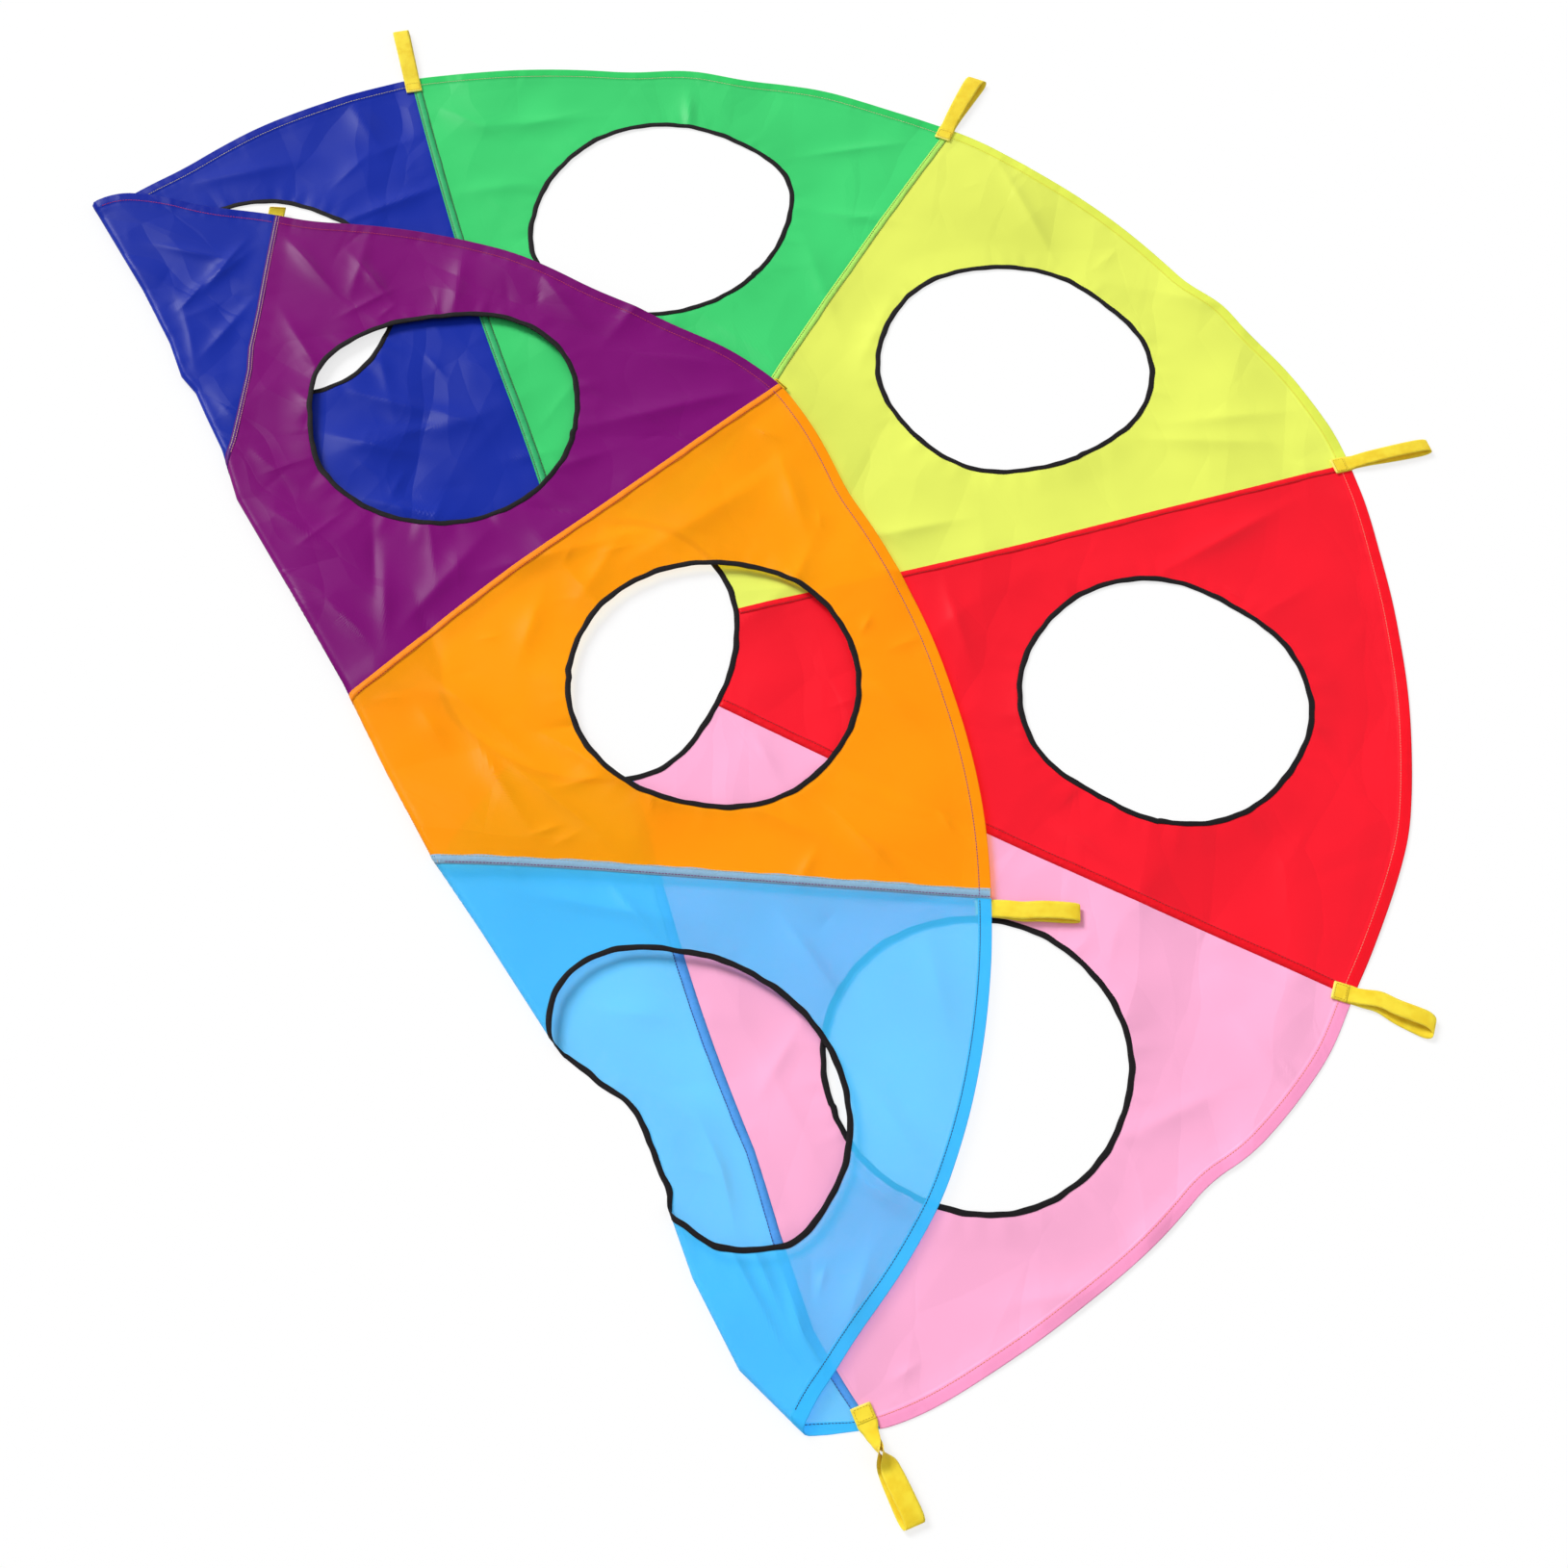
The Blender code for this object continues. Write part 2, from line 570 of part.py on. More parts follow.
class Loop:
    """One webbing loop: a strap folded in two, its ends sewn to the hem at a seam and its length free.

    Its own frame starts at the rim with u outwards along the strap, v across it and w up."""

    def __init__(self, seam, name, swing_deg, turn_deg, twist=False, skewed=False, shift=0.0, tucked=0.0):
        self.name, self.swing, self.twist, self.skewed, self.tucked = name, swing_deg, twist, skewed, tucked
        rim = seam_point(seam, rim_radius(seam), shift)
        self.on_flap = past_fold(rim) < 0
        start = drape(np.array([*rim, 0.0]))
        out = unit(seam_angle(seam))
        if self.on_flap:
            out = out - 2 * (out @ FOLD_NORMAL) * FOLD_NORMAL
        self.rim = np.array(start)[:2]
        self.out = unit(math.atan2(out[1], out[0]) + math.radians(turn_deg))
        if self.on_flap:
            self.root_middle = start.z - HEM_STACK - GAP - ROOT_STACK / 2
            self.floor = CLOTH + LOWER_PUFF + GAP
        else:
            self.root_middle = HEM_STACK + GAP + ROOT_STACK / 2
            self.floor = 0.0
        self.body = "flap" if self.on_flap else "lower_layer"

    def pivot(self):
        """The joint lies on the strap's upper face where it leaves the hem."""
        return Vector((*self.rim, self.root_middle + ROOT_STACK / 2))

    def place(self, u, v, w):
        out, across = self.out, left_of(self.out)
        return Vector((*(self.rim + u * out + v * across), w))

    def band(self, path):
        """The solid strap along a path of (u, v, w, u and w of the face's normal, roll about the length)."""
        sections = []
        for u, v, w, axis_w, nu, nw, roll in path:
            section = []
            for side, face in ((-1, -1), (1, -1), (1, 1), (-1, 1)):
                dv = v + side * STRAP_WIDTH / 2
                du, dw = u + face * nu * STRAP / 2, w + face * nw * STRAP / 2 - axis_w
                turned_v = dv * math.cos(roll) - dw * math.sin(roll)
                turned_w = dv * math.sin(roll) + dw * math.cos(roll)
                section.append(self.place(du, turned_v, axis_w + turned_w))
            sections.append(section)
        return strap_solid(sections)

    def with_normals(self, points):
        """Adds to each (u, v, w, axis_w, roll) the normal of the path in the plane of u and w."""
        across = np.array([[p[0], p[2]] for p in points])
        run = np.gradient(across, axis=0)
        run[[0, -1], 1] = 0.0
        run /= np.linalg.norm(run, axis=1)[:, None]
        return [(u, v, w, a, -run[i][1], run[i][0], roll) for i, (u, v, w, a, roll) in enumerate(points)]

    def free_path(self):
        """The free length: out along the upper ply, round the tip and back along the lower one, a teardrop."""
        points = []
        steps = TWIST_STEPS if self.twist else LOOP_STEPS
        rest_middle = self.floor + (LOOP_BULGE + 2 * STRAP) / 2
        for step in range(steps + 1):
            turn = 2 * math.pi * (step / steps)
            u = GAP / 2 + LOOP_LENGTH * (1 - math.cos(turn)) / 2
            pinch = (STRAP + PLY_GAP) * math.cos(turn / 2)
            bulge = (LOOP_BULGE + STRAP) * math.sin(turn) * abs(math.sin(turn / 2)) ** 1.5 / TEARDROP_SHARE
            middle = self.root_middle + (rest_middle - self.root_middle) * float(ease(u / LOOP_DROP))
            roll, v = 0.0, 0.0
            if self.twist:
                twist_from_share, twist_to_share = 0.12, 0.60
                along = (u / LOOP_LENGTH - twist_from_share) / (twist_to_share - twist_from_share)
                roll = math.pi * float(ease(along))
                middle += STRAP_WIDTH / 2 * math.sin(roll)
            if self.skewed:
                v = -SKEW * (u / LOOP_LENGTH) * float(ease((turn / math.pi - 0.75) / 0.5))
            points.append((u, v, middle + (pinch + bulge) / 2, middle, roll))
        return self.with_normals(points)

    def root_path(self):
        """The sewn end: both plies on the hem, joined by a turned-in end, with the joint's gap at the rim."""
        half = (STRAP + PLY_GAP) / 2
        points = []
        for step in range(ROOT_STEPS + 1):
            turn = math.pi * step / ROOT_STEPS
            u = half - ROOT_LENGTH - half * math.sin(turn)
            points.append((u, 0.0, self.root_middle + half * math.cos(turn), self.root_middle, 0.0))
        end = -GAP / 2
        start = (end, 0.0, points[0][2], self.root_middle, 0.0)
        finish_point = (end, 0.0, points[-1][2], self.root_middle, 0.0)
        return self.with_normals([start, *points, finish_point])

    def tucked_path(self):
        """A loop folded in under the flap and pressed flat. tucked is how far its sewn end shows past the rim."""
        half = (STRAP + PLY_GAP) / 2
        points = []
        for end, sign in ((self.tucked, 1), (self.tucked - LOOP_LENGTH, -1)):
            for step in range(ROOT_STEPS + 1):
                turn = math.pi * step / ROOT_STEPS
                u = end - sign * half + sign * half * math.sin(turn)
                points.append((u, 0.0, self.root_middle + sign * half * math.cos(turn), self.root_middle, 0.0))
        open_by = GAP
        first = points[0]
        points.append((first[0] - open_by - STRAP, *first[1:]))
        return self.with_normals(points)

    def make(self):
        if self.tucked:
            finish(self.band(self.tucked_path()), self.name, "webbing", self.body)
            return
        finish(self.band(self.root_path()), f"{self.name}_root", "webbing", self.body)
        pivot = self.pivot()
        new_body(self.name + "_pivot", pivot)
        finish(self.band(self.free_path()), self.name, "webbing", self.name + "_pivot")
        axis = Vector((self.out[1], -self.out[0], 0))
        pivots[self.name] = (self.body, pivot, axis, self.swing)


TEARDROP_SHARE = 0.78
pivots = {}


def make_loops():
    for loop in (
        Loop(0, "loop_blue_green", 165, -2.7),
        Loop(1, "loop_green_yellow", 165, 5.3),
        Loop(2, "loop_yellow_red", 165, -1.2),
        Loop(3, "loop_red_pink", 165, 9.8, skewed=True),
        Loop(4, "loop_pink_sky", 120, 5.5, twist=True),
        Loop(5, "loop_sky_orange", 60, 0.0, shift=LOOP_SIDE_STEP),
        Loop(6, "loop_orange_purple", 0, 0.0, tucked=TUCK_SHOWS),
        Loop(7, "loop_purple_blue", 0, 0.0, tucked=BLUE_HOLE_TUCK_SHOWS),
    ):
        loop.make()


def fold_pivot():
    """The flap turns about the outside of the fold, half way up, just clear of the cloth."""
    return Vector((*(-(FOLD_OFFSET + GAP) * FOLD_NORMAL), HINGE_HEIGHT))


def centre_on_origin():
    """Moves the whole so that the middle of its box stands on the origin, and says where its joints are then."""
    bpy.context.view_layer.update()
    pieces = [o for o in bpy.data.objects if o.type == "MESH"]
    points = np.array([(o.matrix_world @ v.co)[:] for o in pieces for v in o.data.vertices])
    low, high = points.min(0), points.max(0)
    shift = Vector((-(low[0] + high[0]) / 2, -(low[1] + high[1]) / 2, -low[2]))
    whole = new_body("play_parachute", Vector())
    for name, empty in bodies.items():
        if name != "play_parachute":
            empty.parent = whole
    whole.location = shift
    bpy.context.view_layer.update()
    print("size", [round(float(side), 4) for side in high - low], "cloth centre at", shift[:])
    print("fold hinge", (fold_pivot() + shift)[:], "axis", (FOLD_NORMAL[1], -FOLD_NORMAL[0], 0))
    for name, (parent, pivot, axis, swing) in pivots.items():
        print(name, "on", parent, "at", (pivot + shift)[:], "axis", axis[:], "to", swing)


new_body("lower_layer", Vector())
new_body("flap", fold_pivot())
make_panels_and_bindings()
make_loops()
centre_on_origin()
print("triangles", sum(len(p.vertices) - 2 for o in bpy.data.objects if o.type == "MESH" for p in o.data.polygons))
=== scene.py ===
# %% [markdown]
# # A play parachute of thin cloth, folded over once
#
# The real thing is sewn from eight coloured pieces of taffeta. Each has a round hole bound with black tape,
# and a ninth hole is in the middle. Eight loops of yellow webbing are sewn to the hem, and it lies on a
# white floor with one side folded over. A modeller could push a ready-made disc about, but folds made by
# hand stretch the cloth. Here every piece is worked out flat, as it was cut, and one function then lays the
# flat cloth on the floor and turns it over the fold. Threads, tape and cloth go through the same function,
# so they stay together.

# %% Load the fixed model
import json
import math

import bpy
import mathutils
import numpy as np
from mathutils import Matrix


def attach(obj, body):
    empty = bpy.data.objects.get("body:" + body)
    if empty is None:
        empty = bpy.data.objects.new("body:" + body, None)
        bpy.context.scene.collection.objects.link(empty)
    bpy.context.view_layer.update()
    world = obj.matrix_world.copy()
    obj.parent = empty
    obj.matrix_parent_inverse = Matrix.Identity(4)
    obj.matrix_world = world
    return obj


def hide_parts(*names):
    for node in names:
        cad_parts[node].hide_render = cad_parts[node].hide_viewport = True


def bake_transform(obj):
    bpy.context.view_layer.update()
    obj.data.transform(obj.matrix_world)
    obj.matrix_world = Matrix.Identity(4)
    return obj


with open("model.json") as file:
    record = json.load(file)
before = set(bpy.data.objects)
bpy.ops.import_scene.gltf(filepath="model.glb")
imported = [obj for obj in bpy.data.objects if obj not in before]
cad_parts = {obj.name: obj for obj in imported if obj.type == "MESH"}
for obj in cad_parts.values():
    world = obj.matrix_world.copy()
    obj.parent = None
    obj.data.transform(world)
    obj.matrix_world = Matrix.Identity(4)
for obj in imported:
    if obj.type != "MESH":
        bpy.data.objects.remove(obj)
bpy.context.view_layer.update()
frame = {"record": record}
MM = 0.001

# %% [markdown]
# ## The view
#
# The photograph looks down at the cloth from its near edge, about sixty degrees below level, with the head
# a little tilted. The lens and the place of the camera were fitted to the round rim, the eight seams and
# the straight fold.

# %% Camera
RADIUS = 0.900
CENTRE = np.array([-0.1467713, -0.009675])
PITCH, ROLL = math.radians(60.75), math.radians(3.005)
SENSOR, FOCAL_PIXELS, PHOTO_PIXELS = 36.0, 2248.9, 1629
EYE = (0.2436, -1.4429, 2.2506)  # from the cloth's middle, in shares of its radius

camera_data = bpy.data.cameras.new("view_from_near_edge")
camera_data.sensor_width = SENSOR
camera_data.lens = SENSOR * FOCAL_PIXELS / PHOTO_PIXELS
camera = bpy.data.objects.new("view_from_near_edge", camera_data)
camera.location = (CENTRE[0] + EYE[0] * RADIUS, CENTRE[1] + EYE[1] * RADIUS, EYE[2] * RADIUS)
camera.rotation_mode = "XYZ"
forward = np.array([0.0, math.cos(PITCH), -math.sin(PITCH)])
level_right = np.array([1.0, 0.0, 0.0])
level_up = np.cross(level_right, forward)
right = math.cos(ROLL) * level_right + math.sin(ROLL) * level_up
up = -math.sin(ROLL) * level_right + math.cos(ROLL) * level_up
turn = mathutils.Matrix(np.stack([right, up, -forward], axis=1).tolist())
camera.rotation_euler = turn.to_euler()
bpy.context.scene.collection.objects.link(camera)
bpy.context.scene.camera = camera
bpy.context.scene.view_settings.view_transform = "Standard"
print("lens", round(camera_data.lens, 1), "mm, camera", [round(x, 3) for x in camera.location])

# %% [markdown]
# ## The cloth's plan
#
# Eight seams run from the middle hole to the rim. A sewn rim is never a true circle: its hem draws in here
# and there. So the rim, the holes and the seams are each a plain curve times a short row of shares, read
# from the cloth, with a smooth curve through them.

# %% Plan values
PANELS = ("green", "yellow", "red", "pink", "sky", "orange", "purple", "blue")
HALF_SECTOR = math.pi / 8
FOLDED_SEAM = 5  # this seam and those after it lie on the flap, or cross the fold to it
FIRST_SEAM = math.radians(109.7)
HOLE_RADIUS, HOLE_RING, MIDDLE_HOLE = 0.157, 0.639, 0.166
HEM_WIDTH, TAPE_WIDTH = 14 * MM, 5.7 * MM

RIM_PLACES = (
    (0.00, 1.014), (0.10, 1.006), (0.29, 0.996), (0.40, 0.989), (0.51, 1.002), (0.62, 0.994), (0.76, 1.004),
    (0.90, 1.003), (1.05, 1.010), (1.20, 1.004), (1.37, 1.002), (1.50, 0.997), (1.56, 0.996), (1.61, 1.011),
    (1.70, 1.010), (1.80, 1.020), (1.95, 1.026), (2.04, 1.021), (2.19, 1.011), (2.35, 1.007), (2.55, 1.008),
    (2.70, 1.011), (2.86, 1.002), (2.99, 0.998), (3.09, 1.003), (3.20, 0.998), (3.29, 0.992), (3.36, 0.977),
    (3.48, 0.984), (3.62, 0.988), (3.77, 0.997), (3.88, 1.006), (4.01, 1.014), (4.15, 0.991), (4.29, 0.995),
    (4.40, 1.003), (4.52, 1.008), (4.65, 1.004), (4.83, 0.996), (4.99, 0.990), (5.16, 0.986), (5.35, 0.981),
    (5.60, 0.981), (5.78, 0.983), (5.91, 1.007), (6.02, 1.023), (6.13, 1.017), (6.24, 0.999), (6.40, 0.989),
    (6.56, 0.998), (6.74, 0.989), (6.93, 0.977), (7.03, 0.988), (7.12, 0.994), (7.22, 1.018), (7.30, 1.028),
    (7.38, 0.996), (7.54, 0.989), (7.70, 1.004), (7.88, 1.010),
)
HOLE_SHARES = {
    "green": (1.02, 1.00, 0.97, 0.99, 1.06, 1.04, 0.99, 0.94, 0.93, 0.98, 1.09, 1.03),
    "yellow": (0.97, 0.99, 1.00, 1.04, 1.03, 1.04, 1.02, 1.03, 0.96, 0.95, 1.02, 1.04),
    "red": (1.00, 0.99, 0.95, 1.00, 1.02, 1.01, 1.02, 1.01, 0.93, 0.97, 0.99, 0.97),
    "pink": (0.97, 0.96, 0.99, 1.00, 1.02, 1.01, 1.00, 0.98, 0.96, 0.96, 0.96, 0.98),
    "sky": (
        1.06, 1.09, 1.12, 1.06, 1.00, 0.90, 0.86, 0.81, 0.82, 0.86, 0.85, 0.92,
        1.03, 1.13, 1.14, 1.08, 1.00, 0.96, 0.93, 0.92, 0.93, 0.95, 0.98, 1.02,
    ),
    "orange": (0.97, 0.98, 1.00, 1.03, 1.00, 1.02, 1.03, 1.02, 1.01, 0.98, 0.96, 0.98),
    "purple": (1.02, 1.05, 1.00, 1.00, 1.01, 1.00, 0.98, 0.97, 0.97, 1.03, 0.97, 0.93),
    "blue": (1.04, 1.00, 0.93, 0.93, 0.98, 0.96, 1.00, 0.95, 0.93, 0.91, 0.93, 1.02),
    "middle": (0.95, 1.02, 1.06, 1.02, 1.00, 0.98, 1.00, 1.02, 1.00, 1.02, 1.05, 0.95),
}
SEAM_SHARES = (
    (0.002, 0.011, 0.004), (-0.002, 0.005, -0.002), (-0.008, -0.005, -0.002), (-0.006, -0.001, 0.008),
    (-0.012, -0.006, 0.002), (-0.010, 0.000, 0.008), (-0.020, -0.020, -0.018), (-0.005, 0.000, 0.002),
)


# %% Curves of the plan
def ease(share):
    """0 up to 0, 1 from 1, and between them 3 s squared less 2 s cubed."""
    held = np.clip(share, 0.0, 1.0)
    return held * held * (3 - 2 * held)


def direction(angle):
    """The unit vectors of an array of angles, as rows."""
    return np.stack([np.cos(angle), np.sin(angle)], axis=-1)


def round_curve(shares, place):
    """A smooth closed curve through evenly spaced shares: between two of them a cubic whose slope at each
    is half the difference of its neighbours."""
    values = np.asarray(shares)
    at = np.asarray(place) % 1 * len(values)
    first = np.floor(at).astype(int)
    part = at - first
    a, b, c, d = (values[(first + step) % len(values)] for step in (-1, 0, 1, 2))
    return b + part * ((c - a) + part * ((2 * a - 5 * b + 4 * c - d) + part * (3 * (b - c) + d - a))) / 2


def rim_radius(place):
    """Rim radius at a place counted in panels clockwise from the first seam: straight runs between the
    places read from the hem, with each corner rounded by averaging over four centimetres."""
    places, shares = np.array(RIM_PLACES).T
    total = 0.0
    for shift in (-0.03, -0.015, 0.0, 0.015, 0.03):
        total = total + np.interp((np.asarray(place) + shift) % 8, places, shares, period=8)
    return RADIUS * total / 5


def seam_angle(seam):
    return FIRST_SEAM - 2 * HALF_SECTOR * np.asarray(seam, float)


def hole_centre(panel):
    return HOLE_RING * direction(seam_angle(panel + 0.5))


def hole_radius(name, angle):
    """Radius of a hole's cut edge in a direction: the hole's size times its own row of shares."""
    if name == "middle":
        return MIDDLE_HOLE * round_curve(HOLE_SHARES[name], angle / (2 * math.pi))
    outward = float(seam_angle(PANELS.index(name) + 0.5))
    return HOLE_RADIUS * round_curve(HOLE_SHARES[name], (angle - outward) / (2 * math.pi))


def seam_wander(seam, radius):
    """Sideways drift of a seam at a radius: a parabola through its shares at the inner end, middle and
    rim."""
    inner, middle, rim = SEAM_SHARES[seam % 8]
    share = (radius - MIDDLE_HOLE) / (RADIUS - MIDDLE_HOLE)
    bend = inner + share * (4 * middle - 3 * inner - rim) + 2 * share**2 * (inner + rim - 2 * middle)
    return RADIUS * bend * ease(2 * share)


def corner_place(seam):
    """Where a seam meets the rim, counted in panels: its drift there, as an angle, moves it along the
    rim."""
    reach = float(rim_radius(seam))
    return seam - seam_wander(seam, reach) / (2 * HALF_SECTOR * reach)


def seam_end(seam):
    return float(rim_radius(corner_place(seam)))


def seam_point(seam, radius, sideways=0.0):
    """Points along a seam, with a distance to its anticlockwise side."""
    along = direction(seam_angle(seam))
    left = np.array([-along[1], along[0]])
    offset = np.asarray(sideways + seam_wander(seam, radius))
    return np.asarray(radius)[..., None] * along + offset[..., None] * left


# %% [markdown]
# ## The fold
#
# The part of the cloth beyond the fold line is turned over and lies on the rest, its outer face up. At the
# fold the cloth runs round a half circle twelve millimetres high, and from there the flap settles onto what
# lies under it. A bend modifier would do this for one mesh. A function of the flat point does it for all of
# them, and it gives the same height to a thread as to the cloth that it is sewn through.

# %% Lay flat points on the floor
fold_joint = next(j for j in frame["record"]["behaviour"]["joints"] if j["name"] == "fold")
FOLD_NORMAL = np.array([-fold_joint["axis"][1], fold_joint["axis"][0]])
FOLD_ALONG = np.array([-FOLD_NORMAL[1], FOLD_NORMAL[0]])
BEND_RADIUS = fold_joint["pos_m"][2]
FOLD_OFFSET = float(FOLD_NORMAL @ (CENTRE - np.array(fold_joint["pos_m"][:2]))) - 0.3 * MM
FLAP_REST = 8.3 * MM
# The share and the length of the flap's quick settling by the fold, and how far in the bends of its edge
# reach
QUICK_SHARE, QUICK_REACH, EDGE_REACH = 0.65, 0.070, 0.110
# Where the fold's edge was seen: its place along the fold and its distance inside the straight line, in
# shares of R
FOLD_EDGE = (
    (-1.060, 0.060), (-0.983, 0.060), (-0.968, 0.046), (-0.936, 0.036), (-0.867, 0.016), (-0.759, 0.020),
    (-0.665, 0.036), (-0.439, 0.011), (-0.287, 0.002), (-0.177, -0.007), (-0.038, -0.005), (0.092, 0.001),
    (0.256, -0.001), (0.409, -0.004), (0.492, 0.010), (0.554, 0.013), (0.594, 0.016), (0.629, 0.010),
    (0.689, 0.018), (0.793, 0.021), (0.970, 0.017), (1.060, 0.017),
)


def past_fold(points):
    """Signed distance of flat points from the fold line, positive on the part that stays down."""
    return points @ FOLD_NORMAL + FOLD_OFFSET


def flap_height(away):
    """Height of the flap's upper face: the whole fold's height at the fold, less the settling away from
    it."""
    quick = QUICK_SHARE * np.exp(-((away / QUICK_REACH) ** 2))
    slow = (1 - QUICK_SHARE) * (1 - away / RADIUS)
    return FLAP_REST + (2 * BEND_RADIUS - FLAP_REST) * (slow + quick)


def lay(points, h):
    """Flat points (x, y) with a height h over the cloth's outer face become points in the room.

    Past the fold the height is taken from the flap's upper face, because the flap lies face down."""
    points, h = np.asarray(points, float), np.asarray(h, float)
    s, along = past_fold(points), points @ FOLD_ALONG
    quarter = BEND_RADIUS * math.pi / 2
    turned = np.clip(s / BEND_RADIUS, -math.pi / 2, math.pi / 2)
    away = BEND_RADIUS - (BEND_RADIUS - h) * np.cos(turned) + np.maximum(np.abs(s) - quarter, 0)
    z = BEND_RADIUS - (BEND_RADIUS - h) * np.sin(turned)
    on_flap = s < -quarter
    z = np.where(on_flap, flap_height(away - BEND_RADIUS) - h, z) + relief(points, s, away - BEND_RADIUS)
    edge = RADIUS * np.interp(along / RADIUS, *np.array(FOLD_EDGE).T)
    inwards = edge * np.exp(-((away / EDGE_REACH) ** 2))
    across = away - FOLD_OFFSET + inwards
    xy = CENTRE + across[..., None] * FOLD_NORMAL + along[..., None] * FOLD_ALONG
    return np.concatenate([xy, z[..., None]], axis=-1)


# %% [markdown]
# ## Creases
#
# Thin taffeta keeps the creases of its bag. Cloth simulation would crumple it in its own way, and not where
# this one is crumpled, so each crease here is a stroke: a ridge along a line that fades at its ends. The
# large ones were placed where the cloth shows them. Many small ones are drawn at random, mostly
# pointing away from the holes, because the tape pulls the cloth that way. All of them lift it by
# millimetres only, so that the layers stay apart. They die out at the fold, and at each corner, where a
# loop is sewn on and holds the cloth flat.

# %% Creases seen on the cloth
# Each stroke: place (x, y), its direction in degrees, half length, half width, in shares of R, and height
# in mm
LOWER_STROKES = (
    (0.79, 0.21, 35, 0.08, 0.015, 1.6), (0.45, 0.07, -75, 0.06, 0.013, 1.2),
    (0.60, -0.24, -39, 0.04, 0.013, 1.4), (0.53, -0.06, -87, 0.05, 0.015, 1.0),
    (0.77, -0.17, -49, 0.05, 0.015, 1.2), (0.88, -0.05, -63, 0.07, 0.018, 1.2),
    (0.54, 0.77, -67, 0.09, 0.013, 1.4), (0.83, 0.60, -11, 0.13, 0.020, 1.6),
    (0.39, 0.20, 17, 0.06, 0.015, 1.5), (0.34, 0.20, -28, 0.04, 0.013, 1.2),
    (0.34, 0.53, -109, 0.06, 0.018, 1.0), (0.81, 0.41, 11, 0.07, 0.018, 1.3),
    (0.81, 0.68, -53, 0.05, 0.015, 1.3), (0.06, 0.92, -86, 0.03, 0.009, 1.4),
    (0.17, 0.49, -37, 0.08, 0.015, 1.4), (0.30, 0.86, 14, 0.06, 0.011, 1.2),
    (0.31, 0.73, -7, 0.05, 0.013, 1.2),
    (-0.20, 0.75, 14, 0.05, 0.020, 1.3), (0.26, 0.61, -72, 0.07, 0.018, 1.4),
    (-0.16, 0.88, 11, 0.08, 0.018, 1.2), (-0.34, 0.71, 32, 0.06, 0.015, 2.0),
    (-0.56, 0.75, 20, 0.07, 0.020, 1.6), (-0.31, 0.29, -11, 0.06, 0.018, 1.8),
    (-0.29, 0.36, -14, 0.08, 0.018, 1.8), (-0.25, 0.19, -13, 0.05, 0.015, 1.6),
    (-0.40, 0.86, -57, 0.06, 0.020, 1.4), (0.70, -0.57, 30, 0.06, 0.020, 1.3),
    (0.57, -0.78, 15, 0.05, 0.020, 1.3), (0.67, -0.70, -134, 0.04, 0.015, 1.2),
    (0.49, -0.55, -79, 0.06, 0.018, 1.2), (0.80, -0.50, -58, 0.05, 0.018, 1.1),
    (0.13, -0.60, -29, 0.06, 0.020, 1.6), (0.18, -0.67, -70, 0.05, 0.011, 1.4),
    (0.09, -0.49, -4, 0.04, 0.018, 1.2), (0.27, -0.59, -60, 0.06, 0.018, 1.0),
)
FLAP_STROKES = (
    (-0.86, -0.22, -135, 0.09, 0.018, 2.2), (-0.90, 0.13, -25, 0.05, 0.015, 1.6),
    (-0.86, 0.24, -65, 0.04, 0.010, 1.5), (-0.84, 0.33, -66, 0.05, 0.010, 1.6),
    (-0.49, -0.11, -175, 0.07, 0.020, 2.0), (-0.59, -0.21, -136, 0.08, 0.018, 1.8),
    (-0.47, 0.11, -82, 0.05, 0.015, 1.8), (-0.53, 0.18, -84, 0.04, 0.015, 1.6),
    (-0.96, 0.01, -62, 0.05, 0.015, 1.6), (-0.71, 0.25, -58, 0.05, 0.013, 1.4),
    (-0.38, -0.03, -71, 0.04, 0.013, 1.6), (-0.72, -0.34, -156, 0.10, 0.026, 2.0),
    (-0.28, -0.32, -59, 0.06, 0.011, 1.8), (-0.29, -0.38, -77, 0.08, 0.010, 1.6),
    (-0.35, -0.41, -85, 0.08, 0.011, 1.6), (-0.34, -0.26, -76, 0.09, 0.015, 1.6),
    (-0.41, -0.74, -69, 0.05, 0.010, 1.4), (-0.39, -0.63, -92, 0.06, 0.015, 1.4),
    (-0.60, -0.68, -68, 0.05, 0.018, 1.4), (-0.60, -0.27, -1, 0.05, 0.018, 1.4),
    (-0.48, -0.24, -16, 0.04, 0.018, 1.4), (-0.25, -0.75, -61, 0.05, 0.010, 1.8),
    (0.13, -0.86, -58, 0.07, 0.010, 2.4), (0.11, -0.87, -52, 0.05, 0.010, 1.6),
    (-0.04, -0.94, -81, 0.04, 0.011, 1.8), (-0.19, -0.51, -107, 0.08, 0.015, 1.4),
    (-0.20, -0.55, -66, 0.05, 0.011, 1.6), (-0.12, -0.92, -63, 0.05, 0.015, 1.4),
    (0.14, -0.93, -42, 0.04, 0.011, 1.8), (0.07, -0.97, -7, 0.04, 0.015, 1.4),
    (-0.29, -0.89, -39, 0.05, 0.018, 1.2), (-0.77, 0.43, -179, 0.04, 0.010, 1.8),
    (-0.70, 0.44, -176, 0.03, 0.009, 1.5), (-0.63, 0.39, -48, 0.06, 0.010, 1.6),
    (-0.77, 0.48, -109, 0.05, 0.011, 1.3), (-0.57, 0.30, -75, 0.03, 0.010, 1.8),
)


